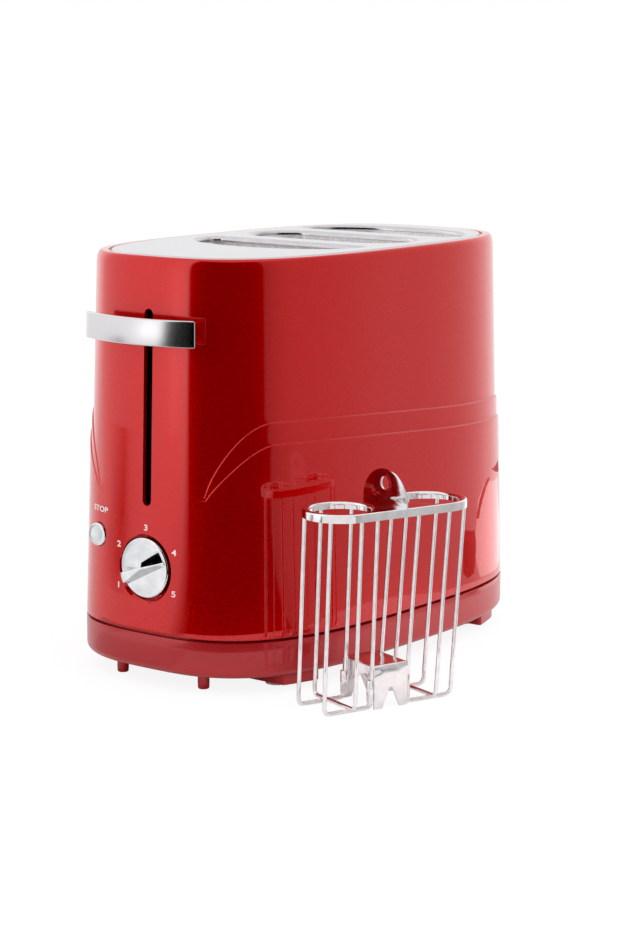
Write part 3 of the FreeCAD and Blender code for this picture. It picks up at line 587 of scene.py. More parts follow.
def wall_rows(column):
    """(height, inset, steps) up the outer wall of one column, and its upper field's heights."""
    x, y = oval(column[0], column[1], *core_half(fender_tip_z))
    fade = past = 0.0
    if abs(y) < fender_tip_y:
        low = fender_height(y, fender_lower)
        high = max(fender_height(y, fender_upper), low + step_room)
        spread = 1.0
    else:
        fade = smooth_step((tip_x - abs(x)) / fade_width)
        past = smooth_step((tip_x - abs(x) - fade_width) / smear_width)
        low = fender_tip_z - (fender_fall if y > 0 else 0.0) - smear_drop * past
        spread = 1 + smear_factor * past
        high = low + step_room * spread

    def blend(z, steps):
        slope = 2 * (1 - smooth_step((z - slope_low) / (slope_high - slope_low)))
        return steps + (slope - steps) * fade

    rows = [(housing_bottom, 0.5, 2), (housing_bottom + 0.15, 0.15, 2)]
    first = housing_bottom + 0.5
    last = low + step_profile[-1][1] * spread
    rows += [(first + (last - first) * i / rows_low, 0, 2) for i in range(rows_low)]
    rows += [(low + rise * spread, 0, 1 + share) for share, rise in reversed(step_profile)]
    first = low + step_profile[0][1] * spread
    last = high + step_profile[-1][1] * spread
    rows += [(first + (last - first) * i / rows_between, 0, 1) for i in range(1, rows_between)]
    rows += [(high + rise * spread, 0, share) for share, rise in reversed(step_profile)]
    first = high + step_profile[0][1] * spread
    last = body_top - rim_radius
    even_low = first + (last - first) * slot_row_low / rows_high
    even_high = first + (last - first) * slot_row_high / rows_high
    at_low = lever_slot_low + (even_low - lever_slot_low) * (1 - past)
    at_high = lever_slot_high + (even_high - lever_slot_high) * (1 - past)
    bow = 0.0
    if column[2] is not None and abs(column[2]) < lever_slot_half:
        bow = math.sqrt(lever_slot_half ** 2 - column[2] ** 2)
    spacing = [(0, first), (slot_row_low, at_low), (slot_row_high, at_high), (rows_high, last)]
    field = [level_at(spacing, i) for i in range(1, rows_high + 1)]
    field[slot_row_low - 1] -= bow
    field[slot_row_high - 1] += bow
    rows = [(z, inset, blend(z, steps)) for z, inset, steps in rows]
    return rows, [(z, blend(z, 0.0)) for z in field]


def make_housing():
    """Shell with the lever slot, the outside and the inside of its wall in one mesh."""
    seat = lid_inset - lid_gap
    ledge = lid_inset + ledge_width
    lid_seat = ((body_top - 0.08, seat - 0.1), (body_top - 0.3, seat), (lid_bottom, seat),
                (lid_bottom, ledge), (ledge_bottom, ledge), (ledge_bottom, wall))
    column_points = []
    for column in columns:
        rows, field = wall_rows(column)
        points = [body_point(column, z, inset, steps) for z, inset, steps in rows]
        points += [body_point(column, z, 0.0, steps) for z, steps in field]
        shoulder = body_top - rim_radius
        for degrees in range(10, 91, 10):
            angle = math.radians(degrees)
            z = shoulder + rim_radius * math.sin(angle)
            points.append(body_point(column, z, rim_inset * (1 - math.cos(angle))))
        points += [body_point(column, z, inset) for z, inset in lid_seat]
        points += [body_point(column, z, wall)
                   for z, _ in reversed(field[slot_row_low - 1:slot_row_high])]
        points.append(body_point(column, housing_bottom, wall))
        column_points.append(points)
    field_start = 2 + rows_low + 2 * len(step_profile) + rows_between - 1
    outer_low = field_start + slot_row_low - 1
    outer_high = field_start + slot_row_high - 1
    row_count = len(column_points[0])
    inner_high = row_count - 1 - (slot_row_high - slot_row_low + 1)
    inner_low = row_count - 2
    slot_columns = [i for i, (_, s, x) in enumerate(columns)
                    if x is not None and s < 0 and abs(x) <= lever_slot_half]
    slot_columns.sort(key=lambda i: columns[i][2])
    count = len(columns)
    points = [point for column in column_points for point in column]

    def index(column, row):
        return (column % count) * row_count + row % row_count

    faces = []
    pairs = set(zip(slot_columns, slot_columns[1:]))
    for c in range(count):
        in_slot = (c, (c + 1) % count) in pairs
        for r in range(row_count):
            open_here = in_slot and (outer_low <= r < outer_high or inner_high <= r < inner_low)
            if not open_here:
                faces.append((index(c, r), index(c + 1, r), index(c + 1, r + 1), index(c, r + 1)))
    span = outer_high - outer_low
    edge = [(slot_columns[0], k) for k in range(span + 1)]
    edge += [(c, span) for c in slot_columns[1:]]
    edge += [(slot_columns[-1], k) for k in range(span - 1, -1, -1)]
    edge += [(c, 0) for c in reversed(slot_columns[1:-1])]
    for (c0, k0), (c1, k1) in zip(edge, edge[1:] + edge[:1]):
        faces.append((index(c0, outer_low + k0), index(c1, outer_low + k1),
                      index(c1, inner_low - k1), index(c0, inner_low - k0)))
    return points, faces


def wall_pin(x, z, sections):
    """Round solid along Y through (radius, y) sections."""
    rings = [[(u, y, w) for u, w in circle(x, z, radius, 96)] for radius, y in sections]
    return loft(rings, capped=True)


knob_wall = end_wall(0, knob_height)
well_floor = knob_wall - well_depth
housing = new_object("housing_shell", make_housing())
combine(housing, [wall_pin(0, knob_height, [(well_radius + 1.5, 1.1 - knob_wall),
                                            (well_radius + 1.5, 1.5 - well_floor)])], "UNION")
combine(housing, [
    wall_pin(0, knob_height, [(well_radius + 6.0, -knob_wall - 5.0),
                              (well_radius, 1.0 - knob_wall), (well_radius, -well_floor)]),
    wall_pin(0, knob_height, [(shaft_hole, -cut_outside), (shaft_hole, -cut_inside)]),
    wall_pin(stop_x, stop_height, [(stop_hole, -cut_outside), (stop_hole, -cut_inside)]),
    wall_pin(0, gland_height, [(gland_hole, cut_inside), (gland_hole, cut_outside)])],
        "DIFFERENCE")
finished(housing, red_flake_abs, "toaster_body", ["housing"])


# ---- base ----
def base_ring(z, inset):
    """Outline of the base, which doesn't lean."""
    return [(*oval(c, s, seam_half_x - inset, seam_half_y - inset), z) for c, s, _ in columns]


def make_base():
    """Tub with a rounded lower edge, and the collar that stands inside the housing."""
    rings = [base_ring(base_bottom, base_round)]
    for degrees in range(10, 91, 10):
        angle = math.radians(degrees)
        rings.append(base_ring(base_bottom + base_round * (1 - math.cos(angle)),
                               base_round * (1 - math.sin(angle))))
    rings += [base_ring(16, 0), base_ring(21, 0), base_ring(seam_height - 0.6, 0),
              base_ring(seam_height - 0.18, 0.12), base_ring(seam_height, 0.6)]
    for z, inset in ((seam_height, 2.5), (housing_bottom, 2.5), (collar_top, 2.5),
                     (collar_top, collar_inset), (housing_bottom, collar_inset)):
        rings.append([body_point(column, z, inset) for column in columns])
    rings.append([(x, y, floor_top) for x, y, z in rings[-1]])
    return loft(rings, capped=True)


screw_low, screw_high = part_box("base_screws")
screw_x = screw_high.x / MM - screw_head
screws = [(side * screw_x, y) for side in (-1, 1)
          for y in (screw_low.y / MM + screw_head, screw_high.y / MM - screw_head)]


def upright_pin(radius, x, y, z0, z1):
    return upright(circle(x, y, radius, 32), z0, z1)


vents = [toast_centre + 9.0 * (i - 4) for i in range(9)] + [-64.0, -101.0]
vent_straight = 22.5
vent_radius = 1.5

base = new_object("base_band", make_base())
combine(base, [upright(stadium(vent_straight, y + vent_radius, vent_radius, 8), 0.0, 14.0)
               for y in vents]
        + [upright_pin(screw_hole, x, y, 0, screw_seat) for x, y in screws]
        + [box_shape(-tray_half - tray_play, tray_half + tray_play, 62.5, cut_outside,
                     floor_top, tray_high + tray_play)], "DIFFERENCE")
posts = [box_shape(side * post_x - post_half, side * post_x + post_half, y - post_half,
                   y + post_half, floor_top, 28) for side in (-1, 1) for y in post_places]
sleeves = [upright_pin(screw_sleeve, x, y, screw_seat, collar_top) for x, y in screws]
base_posts = new_object("base_posts", merged(*posts, *sleeves))
finished(base, satin_red_abs, "toaster_body", ["base_tub"])
finished(base_posts, satin_red_abs, "toaster_body")


def rounded_rectangle(x0, x1, y0, y1, radius, steps):
    corners = ((x1 - radius, y0 + radius, -90), (x1 - radius, y1 - radius, 0),
               (x0 + radius, y1 - radius, 90), (x0 + radius, y0 + radius, 180))
    return [point for x, y, start in corners
            for point in arc(x, y, radius, start, start + 90, steps)]


def foot_shape(size):
    """Block foot from (height, inset) rows, its outer side along the oval of the base."""
    x0, x1, y0, y1 = size
    rings = []
    for z, inset in foot_profile:
        half_x = seam_half_x - foot_inset - inset
        half_y = seam_half_y - foot_inset - inset
        ring = []
        for x, y in rounded_rectangle(x0 + inset, x1, y0 + inset, y1 - inset, 5.0, 10):
            ring.append((min(x, oval_reach(y, half_y, half_x)), y, z))
        rings.append(ring)
    return loft(rings, capped=True)


foot_profile = [(foot_pad, 0.8), (foot_pad + 0.1, 0.45), (foot_pad + 0.35, 0.15),
                (foot_pad + 0.8, 0.0), (base_bottom + 0.1, 0.0)]
pad_profile = [(0, 0.0), (5.0, 0.0), (5.35, 0.12), (foot_pad_radius, 0.5),
               (foot_pad_radius, foot_pad + 0.1), (0, foot_pad + 0.1)]


def foot_pad_shape(size):
    x = (size[0] + size[1]) / 2 - foot_inset
    y = (size[2] + size[3]) / 2
    return revolved(pad_profile, lambda a, b, h: (x + a, y + b, h), 48)


def mirrored(shape):
    points, faces = shape
    flipped = [(-x, y, z) for x, y, z in points], [tuple(reversed(face)) for face in faces]
    return merged(shape, flipped)


feet = new_object("block_feet", mirrored(merged(
    foot_shape(front_foot), foot_shape(rear_foot))))
finished(feet, satin_red_abs, "toaster_body", ["side_feet"])
pads = new_object("foot_pad_set", mirrored(merged(
    foot_pad_shape(front_foot), foot_pad_shape(rear_foot))))
finished(pads, pale_silicone, "toaster_body", ["foot_pads"])

peg_profile = [(0, 0.0), (1.9, 0.0), (2.4, 0.12), (2.7, 0.4), (2.82, 0.9), (2.9, 3.0),
               (2.9, base_bottom + 0.3), (0, base_bottom + 0.3)]
pegs = new_object("front_peg_pair", mirrored(revolved(
    peg_profile, lambda a, b, h: (peg_x + a, b - peg_y, h), 32)))
finished(pegs, satin_red_abs, "toaster_body", ["front_pegs"])


def make_tray_handle():
    """Stretch of the base band at the rear with a finger scoop."""
    thickness = 3.6
    scoop_depth = 1.4
    scoop_half = 17.0
    widths = [-tray_half + 2 * tray_half * i / 48 for i in range(49)]
    rings = []
    for k in range(13):
        z = tray_low + (tray_high - tray_low) * k / 12
        turn = math.acos(min(max(1 - (z - base_bottom) / base_round, 0.0), 1.0))
        inset = base_round * (1 - math.sin(turn)) if z < base_bottom + base_round else 0.0
        rise = smooth_step((z - 11.8) / 4.5) * smooth_step((19.5 - z) / 1.2)
        front_row = []
        back_row = []
        for x in widths:
            y = oval_reach(x, seam_half_x - inset, seam_half_y - inset)
            span = smooth_step(2 * max(0.0, 1 - (x / scoop_half) ** 2))
            front_row.append((x, y - scoop_depth * span * rise, z))
            back_row.append((x, y - thickness, z))
        rings.append(front_row + back_row[::-1])
    return loft(rings, capped=True)


tray_band = new_object("tray_pull", make_tray_handle())
combine(tray_band, [box_shape(-tray_half, tray_half, 115, 121, tray_low, tray_low + 1.6)],
        "UNION")
finished(tray_band, satin_red_abs, "tray", ["tray_handle"])


# ---- lid and chutes ----
def half_moon(direction, grow, half_width=slot_half_width, near=slot_near, far=slot_far):
    """Half-moon outline grown outwards, as (x, y) pairs."""
    half_width += grow
    near -= grow
    far += grow
    corner = 6.0
    start = toast_centre + direction * near
    depth = far - near - corner
    ring = []
    for i in range(49):
        angle = math.pi * i / 48
        ring.append((half_width * math.cos(angle),
                     start + direction * (corner + depth * math.sin(angle) ** 0.85)))
    for i in range(1, 7):
        angle = math.radians(90 * i / 6)
        ring.append((-half_width + corner - corner * math.cos(angle),
                     start + direction * corner * (1 - math.sin(angle))))
    straight = half_width - corner
    ring += [(-straight + 2 * straight * i / 12, start) for i in range(1, 12)]
    for i in range(6):
        angle = math.radians(90 * (6 - i) / 6)
        ring.append((half_width - corner + corner * math.cos(angle),
                     start + direction * corner * (1 - math.sin(angle))))
    return ring


def well_outline(grow, half_length=well_half_length, half_width=well_half_width):
    return stadium(half_length - half_width, toast_centre, half_width + grow, 24)


def rolled_plate(name, edges):
    """Flat plate between the first loop of each edge; every edge then rolls over."""
    bm = bmesh.new()
    rim_edges = []
    for rings in edges:
        rows = [[bm.verts.new(Vector(point) * MM) for point in ring] for ring in rings]
        for a, b in zip(rows, rows[1:]):
            for i in range(len(a)):
                j = (i + 1) % len(a)
                bm.faces.new((a[i], a[j], b[j], b[i]))
        for i in range(len(rows[0])):
            rim_edges.append(bm.edges.get((rows[0][i], rows[0][(i + 1) % len(rows[0])])))
    bmesh.ops.triangle_fill(bm, use_beauty=True, edges=rim_edges, normal=(0, 0, 1))
    bmesh.ops.recalc_face_normals(bm, faces=bm.faces)
    widest = max(bm.faces, key=lambda face: face.calc_area())
    if widest.normal.z < 0:
        bmesh.ops.reverse_faces(bm, faces=bm.faces)
    return linked_bmesh(name, bm)


def roll(outline, edge, radius, drop, sign, top, steps=6):
    """Rings from the flat over a bend: outline(grow) gives one ring, sign +1 rolls outwards."""
    rings = [[(x, y, top) for x, y in outline(edge - sign * (radius + 0.5))],
             [(x, y, top) for x, y in outline(edge - sign * (radius + 0.15))]]
    for i in range(steps + 1):
        angle = math.radians(90 * i / steps)
        grow = edge - sign * radius * (1 - math.sin(angle))
        rings.append([(x, y, top - radius * (1 - math.cos(angle))) for x, y in outline(grow)])
    if drop > radius:
        rings.append([(x, y, top - drop) for x, y in outline(edge)])
    return rings


def lid_outline(grow):
    half_x, half_y = core_half(lid_top, lid_inset - grow)
    return [oval(c, s, half_x, half_y) for c, s, _ in columns]


mouths = (lambda grow: half_moon(-1, grow), lambda grow: half_moon(1, grow), well_outline)
lid = rolled_plate("lid_plate", [
    roll(lid_outline, edge=0.0, radius=0.9, drop=1.2, sign=1, top=lid_top)] + [
    roll(mouth, edge=-0.8, radius=2.2, drop=2.6, sign=-1, top=lid_top) for mouth in mouths])
thicken(lid, sheet - 0.1)
finished(lid, polished_stainless, "toaster_body", ["top_plate"], 50)


def chute(name, outline, node_name):
    """Tapered sheet wall; outline(share) gives its ring, share 0 at the lid and 1 below."""
    high = lid_bottom - 1.3
    steps = 14
    rings = []
    for i in range(steps + 1):
        share = i / steps
        rings.append([(x, y, high + (chute_low - high) * share) for x, y in outline(share)])
    made = new_object(name, loft(rings))
    thicken(made, 0.7)
    return finished(made, mill_stainless, "toaster_body", [node_name], 40)


def bun_outline(direction):
    return lambda share: half_moon(direction, 0, slot_half_width - play - chute_taper * share,
                                   slot_near, slot_far - play - chute_pull * share)


play = 0.05
chute("front_bun_wall", bun_outline(-1), "front_bun_chute")
chute("rear_bun_wall", bun_outline(1), "rear_bun_chute")
chute("sausage_well_wall",
      lambda share: well_outline(0, well_half_length - play - well_taper * share,
                                 well_half_width - play - well_pull * share), "basket_chute")


# ---- lever handle ----
def make_handle():
    half = handle_half_height
    centre_y = handle_radius - handle_front
    rings = []
    for i in range(29):
        angle = math.asin(handle_half / handle_radius) * (i / 14 - 1)
        ring = []
        for depth, z in ((0, -half), (0, half), (handle_thickness, half),
                         (handle_thickness, -half)):
            r = handle_radius - depth
            ring.append((r * math.sin(angle), centre_y - r * math.cos(angle), lever_height + z))
        rings.append(ring)
    return loft(rings, capped=True)


handle = new_object("curved_handle", make_handle())
soften(handle, width=0.9, segments=4, angle=50)
finished(handle, satin_chrome, "carriage", ["lever_handle"], 35)


# ---- knob and STOP button ----
def knob_place(u, w, d):
    """From the knob's face, u right, w up and d out of the wall."""
    return u, -(knob_wall + d), knob_height + w


knob_face = 0.4
knob_back = 0.8 - well_depth
disc_profile = [(0, knob_back), (14.6, knob_back), (knob_radius, knob_back + 0.4),
                (knob_radius, knob_face - 0.7)]
disc_profile += arc(knob_radius - 0.7, knob_face - 0.7, 0.7, 15, 90, 6) + [(0, knob_face)]


def turned(u, w):
    """Along the pointer and across it, to right and up."""
    angle = math.radians(pointer_angle)
    return (u * math.cos(angle) - w * math.sin(angle), u * math.sin(angle) + w * math.cos(angle))


# Along the pointer; across it: upper edge, crest, foot of the lower slope; height.
grip_sections = ((14.2, -2.3, 2.9, 3.9, 2.6), (8.0, -1.5, 1.5, 3.9, 2.3),
                 (2.0, -0.9, 0.1, 3.8, 1.9), (-5.0, 0.2, 0.9, 3.7, 1.4),
                 (-13.2, 1.3, 2.0, 3.5, 0.8))


def grip_bar():
    """Grip that stands up at the pointing end and sinks into the face at the other."""
    low = knob_back + 0.3
    between = 4
    sections = [[a + (b - a) * i / between for a, b in zip(first, second)]
                for first, second in zip(grip_sections, grip_sections[1:])
                for i in range(between)] + [grip_sections[-1]]
    rings = []
    for u, upper, crest, foot, height in sections:
        section = ((upper, low), (upper, height), (crest, height), (foot, knob_face - 0.12),
                   (foot, low))
        rings.append([knob_place(*turned(u, w), d) for w, d in section])
    return loft(rings, capped=True)


def knob_scoop():
    """Hollow above the grip: runs out near the middle, deep at the rim."""
    outline = [(3.1, 0.1), (-12.9, 1.5), (-12.2, -5.1), (0.75, -2.95)]
    low = [knob_place(*turned(u, w), knob_face + 0.04 + 0.315 * (u - 2.4) - 0.243 * (w + 0.8))
           for u, w in outline]
    high = [knob_place(*turned(u, w), knob_face + 3) for u, w in outline]
    return loft([low, high], capped=True)


knob = new_object("browning_knob", revolved(disc_profile, knob_place, 96))
combine(knob, [knob_scoop()], "DIFFERENCE")
combine(knob, [grip_bar()], "UNION")
soften(knob, width=0.2, segments=3, angle=18)
finished(knob, bright_chrome, "timer", ["timer_knob"], 30)

stop_wall = end_wall(stop_x, stop_height)


def stop_place(u, w, d):
    return stop_x + u, -(stop_wall + d), stop_height + w


stop_profile = [(0, -6.0), (stop_radius, -6.0), (stop_radius, stop_stand - 0.6)]
stop_profile += arc(stop_radius - 0.6, stop_stand - 0.6, 0.6, 15, 90, 6)
stop_profile += [(3.4, stop_stand - 0.03), (1.7, stop_stand - 0.07), (0, stop_stand - 0.08)]
stop_button = new_object("stop_cap", revolved(stop_profile, stop_place, 64))
finished(stop_button, bright_chrome, "stop", ["stop_button"], 40)


# ---- lettering ----
def wall_text(words, x, z, height, width):
    """Raised print that follows the front wall; width stretches it sideways."""
    curve = bpy.data.curves.new("print_" + words, "FONT")
    curve.body = words
    curve.align_x = "CENTER"
    curve.align_y = "CENTER"
    curve.extrude = 0.01
    curve.offset = 0.02
    made = linked("print_" + words, curve)
    graph = bpy.context.evaluated_depsgraph_get()
    mesh = bpy.data.meshes.new_from_object(made.evaluated_get(graph))
    bpy.data.objects.remove(made)
    low = min(v.co.y for v in mesh.vertices)
    high = max(v.co.y for v in mesh.vertices)
    left = min(v.co.x for v in mesh.vertices)
    right = max(v.co.x for v in mesh.vertices)
    scale = height / (high - low)
    for v in mesh.vertices:
        px = x + (v.co.x - (left + right) / 2) * scale * width
        pz = z + (v.co.y - (low + high) / 2) * scale
        stand = 0.09 if v.co.z > 0 else -0.1
        v.co = Vector((px, -(end_wall(px, pz, 0, 2) + stand), pz)) * MM
    clean(mesh)
    return finished(linked("print_" + words, mesh), white_ink, "toaster_body", (), 30)


for i, (x, z) in enumerate(arc(0.5, knob_height - 0.4, dial_radius, 210, -30, 4)):
    wall_text(str(i + 1), x, z, 3.0, 1.35)
wall_text("STOP", stop_x + 0.9, 83.4, 2.8, 1.44)


# ---- bent wires ----
def bent_wire_tree():
    """Round wire along straight runs with rounded corners."""
    tree = bpy.data.node_groups.new("bent_wire", "GeometryNodeTree")
    face = tree.interface
    face.new_socket("Route", in_out="INPUT", socket_type="NodeSocketGeometry")
    for name, value in (("Wire radius", 0.001), ("Bend radius", 0.003)):
        socket = face.new_socket(name, in_out="INPUT", socket_type="NodeSocketFloat")
        socket.default_value = value
    face.new_socket("Finish", in_out="INPUT", socket_type="NodeSocketMaterial")
    face.new_socket("Wire", in_out="OUTPUT", socket_type="NodeSocketGeometry")
    given = node(tree, "NodeGroupInput")
    line = node(tree, "GeometryNodeMeshToCurve", [("Mesh", given, "Route")])
    bent = node(tree, "GeometryNodeFilletCurve",
                [("Curve", line, "Curve"), ("Radius", given, "Bend radius")],
                {"Count": 10, "Limit Radius": True}, mode="POLY")
    section = node(tree, "GeometryNodeCurvePrimitiveCircle",
                   [("Radius", given, "Wire radius")], {"Resolution": 16})
    wire = node(tree, "GeometryNodeCurveToMesh",
                [("Curve", bent, "Curve"), ("Profile Curve", section, "Curve")],
                {"Fill Caps": True})
    real = node(tree, "GeometryNodeRealizeInstances", [("Geometry", wire, "Mesh")])
    coated = node(tree, "GeometryNodeSetMaterial",
                  [("Geometry", real, "Geometry"), ("Material", given, "Finish")])
    node(tree, "NodeGroupOutput", [("Wire", coated, "Geometry")])
    return tree


wire_tree = bent_wire_tree()


def bent_wires(name, routes, radius, bend, material):
    """Wires along the routes, as one plain mesh."""
    points = []
    edges = []
    for route in routes:
        start = len(points)
        points += route
        edges += [(start + i, start + i + 1) for i in range(len(route) - 1)]
    made = new_object(name, (points, []), False, edges)
    modifier = made.modifiers.new("bent wire", "NODES")
    modifier.node_group = wire_tree
    wanted = {"Wire radius": radius * MM, "Bend radius": bend * MM, "Finish": material}
    for item in wire_tree.interface.items_tree:
        if item.name in wanted and item.in_out == "INPUT":
            modifier[item.identifier] = wanted[item.name]
    bake(made)
    clean(made.data)
    return made


# ---- basket ----
turn_c = math.cos(math.radians(90 - basket_turn))
turn_s = math.sin(math.radians(90 - basket_turn))


def basket_place(x, y, z):
    """From the basket's own frame, X along it, to its place beside the body."""
    return basket_x + x * turn_c - y * turn_s, basket_y + x * turn_s + y * turn_c, z


def ring_place(x, y, z):
    return basket_place(x + skew_along, y + skew_across, z)


def cage_route(side, angles, lift):
    """Corners of one wire: down from the ring, under the pocket and up again."""
    tops = []
    feet = []
    for degrees in angles:
        c = cage_radius * math.cos(math.radians(degrees))
        s = cage_radius * math.sin(math.radians(degrees))
        tops.append(ring_place(side * pocket_top + c, s, basket_height - 1.2))
        feet.append(basket_place(side * pocket_foot + c, s, cage_wire / 2 + lift))
    return [tops[0], feet[0], feet[1], tops[1]]


cage_wires = (((40, 140), 0), ((-40, -140), 0), ((90, -90), 1.8))
cage_routes = [cage_route(side, angles, lift) for side in (-1, 1) for angles, lift in cage_wires]
cage = bent_wires("cage_wires", cage_routes, cage_wire / 2, 3.0, plated_wire)
finished(cage, plated_wire, "basket", ["basket_cage"], 40)


def ring_edge(outline, radius, drop, sign):
    rings = roll(outline, 0.0, radius, drop, sign, basket_height)
    return [[ring_place(*point) for point in ring] for ring in rings]


ring = rolled_plate("ring_plate", [
    ring_edge(lambda grow: stadium(pocket_top, 0, ring_half_width + grow, 32), 1.0, ring_skirt, 1),
    ring_edge(lambda grow: circle(-pocket_top, 0, pocket_hole + grow, 64), 1.3, collar_drop, -1),
    ring_edge(lambda grow: circle(pocket_top, 0, pocket_hole + grow, 64), 1.3, collar_drop, -1),
])
thicken(ring, 0.8)


def make_tab():
    """Lifting tab between the two holes."""
    arch = [(tab_half_width * c, tab_height * s) for c, s in arc(0, 0, 1, 0, 180, 48)]
    outer = [(tab_half_width, -0.6)] + arch + [(-tab_half_width, -0.6)]
    bm = bmesh.new()
    edges = []
    for loop in (outer, circle(0, tab_hole_height, tab_hole, 32)):
        verts = [bm.verts.new(Vector(ring_place(0.5, y, basket_height + z)) * MM)
                 for y, z in loop]
        edges += [bm.edges.new((verts[i], verts[(i + 1) % len(verts)]))
                  for i in range(len(verts))]
    along = Vector(ring_place(1, 0, 0)) - Vector(ring_place(0, 0, 0))
    bmesh.ops.triangle_fill(bm, use_beauty=True, edges=edges, normal=along)
    made = linked_bmesh("lifting_tab", bm)
    if made.data.polygons[0].normal.dot(along) < 0:
        made.data.flip_normals()
    thicken(made, 1.0)
    return soften(made, width=0.22, segments=3, angle=40)


tab = make_tab()
finished(ring, plated_wire, "basket", ["basket_ring"], 50)
finished(tab, bright_chrome, "basket", (), 30)


def make_bracket():
    """Folded sheet foot: an inverted U with a notch in each leg."""
    bend = 2.0
    path = [(-bracket_half_width, 0.0), (-bracket_half_width, 10.5),
            (-bracket_half_width, bracket_height - bend)]
    path += arc(bend - bracket_half_width, bracket_height - bend, bend, 180, 90, 6)[1:]
    path += [(-y, z) for y, z in reversed(path)]
    xs = [-bracket_half_length, -4.0, 0.0, 4.0, bracket_half_length]
    rings = [[(x, y, z) for y, z in path] for x in xs]
    made = new_object("folded_foot", loft(rings, False), outward=False)
    outward = sum(p.normal.dot(p.center - Vector((0, 0, 0.01))) for p in made.data.polygons)
    if outward < 0:
        made.data.flip_normals()
    thicken(made, 1.0)
    notch = [(-5.5, -1.0), (5.5, -1.0), (0.6, 10.0), (-0.6, 10.0)]
    cutter = loft([[(x, y, z) for x, z in notch] for y in (-30, 30)], capped=True)
    combine(made, [cutter], "DIFFERENCE")
    soften(made, width=0.18, segments=2, angle=40)
    for v in made.data.vertices:
        v.co = Vector(basket_place(*(v.co / MM))) * MM
    return made


def crimp(side_x, side_y):
    """Sheet curled round one inner wire of the cage."""
    rings = []
    for z, bite in ((3.0, 0.15), (3.3, 0.0), (8.5, 0.0), (13.7, 0.0), (14.0, 0.15)):
        section = arc(10.15, 11.06, 1.95 - bite, 90, -180, 18)
        section += arc(10.15, 11.06, 1.15 + bite, 90, -180, 18)[::-1]
        rings.append([basket_place(side_x * x, side_y * y, z) for x, y in section])
    return loft(rings, capped=True)


bracket = make_bracket()
finished(bracket, plated_wire, "basket", ["basket_foot"], 35)
crimps = new_object("wire_crimps", merged(*[crimp(a, b) for a in (-1, 1) for b in (-1, 1)]))
finished(crimps, plated_wire, "basket", (), 35)

# ---- CAD pieces that stay, with their finish ----
finishes = {
    zinc_steel: ("front_bulkhead", "rear_bulkhead", "side_plate_left", "side_plate_right",
                 "upper_frame", "lower_frame", "rod_bracket", "lever_arm", "carriage_yoke",
                 "carriage_rails", "keeper_plate", "magnet_core", "bus_bars", "return_springs",
                 "base_screws", "crumb_tray"),
    bright_chrome: ("bun_guard_wires", "guide_rods", "front_bun_rack", "rear_bun_rack",
                    "basket_platform"),
    mica_sheet: ("heater_board_1", "heater_board_2", "heater_board_3", "heater_board_4"),
    nichrome: ("heater_ribbons",),
    circuit_board: ("control_board",),
    black_nylon: ("terminal_block", "cord_gland", "timer_potentiometer", "stop_switch",
                  "power_switch", "slider_block", "knob_shaft"),
    copper_winding: ("magnet_coil",),
}
for material, names in finishes.items():
    for name in names:
        for material_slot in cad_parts[name].material_slots:
            material_slot.material = material


# ---- studio ----
def card_material(name, clear):
    """Gives off the card's tone; a clear card also shows what is behind it."""
    material, tree = new_material(name)
    tone = node(tree, "ShaderNodeAttribute", attribute_name="tone")
    shown = node(tree, "ShaderNodeEmission", [("Strength", tone, "Fac")])
    output = "Emission"
    if clear:
        behind = node(tree, "ShaderNodeBsdfTransparent")
        shown = node(tree, "ShaderNodeAddShader", [(0, shown, output), (1, behind, "BSDF")])
        output = "Shader"
    node(tree, "ShaderNodeOutputMaterial", [("Surface", shown, output)])
    return material


studio_card = card_material("studio_card", False)
basket_room = card_material("basket_room", True)


def lit_card(name, shape, levels, material):
    """Card that only reflections see, with its light given point by point."""
    made = new_object(name, shape, outward=False)
    tone = made.data.attributes.new("tone", "FLOAT", "POINT")
    for item, level in zip(tone.data, levels):
        item.value = level
    made.data.materials.append(material)
    for kind in ("camera", "diffuse", "transmission", "shadow", "volume_scatter"):
        setattr(made, "visible_" + kind, False)
    return made


def card(name, rows, material=studio_card):
    """Curved card through (radius, height, tones) rows that share their first and last azimuth."""
    corners = sorted({azimuth for _, _, tones in rows for azimuth, _ in tones})
    azimuths = []
    for a0, a1 in zip(corners, corners[1:]):
        steps = max(1, round((a1 - a0) / 3))
        azimuths += [a0 + (a1 - a0) * i / steps for i in range(steps)]
    azimuths.append(corners[-1])
    rings = []
    levels = []
    for radius, z, tones in rows:
        levels += [level_at(tones, azimuth) for azimuth in azimuths]
        rings.append([(radius * math.sin(math.radians(a)), -radius * math.cos(math.radians(a)), z)
                      for a in azimuths])
    return lit_card(name, loft(rings, False), levels, material)


floor_tones = [(-110, 1.0), (-15, 1.05)]
left_tones = [(-110, 1.0), (-100, 1.3), (-82, 1.3), (-74, 1.05)]
low_tones = left_tones + [(-34, 1.1), (-27, 1.4), (-23, 1.7), (-15, 1.7)]
high_tones = left_tones + [(-30, 1.1), (-22, 1.35), (-15, 1.45)]
card("soft_box", [(660, 1, floor_tones), (660, 110, low_tones), (660, 230, high_tones),
                  (660, 900, high_tones)])
side_tones = [(71.5, 0.0), (74, 0.36), (84, 0.47), (94, 0.55), (139, 0.55), (147, 0.62),
              (156, 0.76), (164, 0.95), (176, 1.12), (186, 1.1), (198, 1.0)]
card("dark_screen", [(220, 0.5, [(-16, 1.0), (-5, 0.0)] + side_tones),
                     (400, 0.5, [(-16, 1.0), (-8, 0.0)] + side_tones),
                     (640, 0.5, [(-16, 1.05), (-10, 0.0)] + side_tones),
                     (640, 110, [(-16, 1.7), (-12, 1.7), (-8.6, 0.0)] + side_tones),
                     (640, 230, [(-16, 1.45), (-10.4, 1.45), (-7.0, 0.0)] + side_tones),
                     (640, 900, [(-16, 1.45), (-10.4, 1.45), (-7.0, 0.0)] + side_tones)])
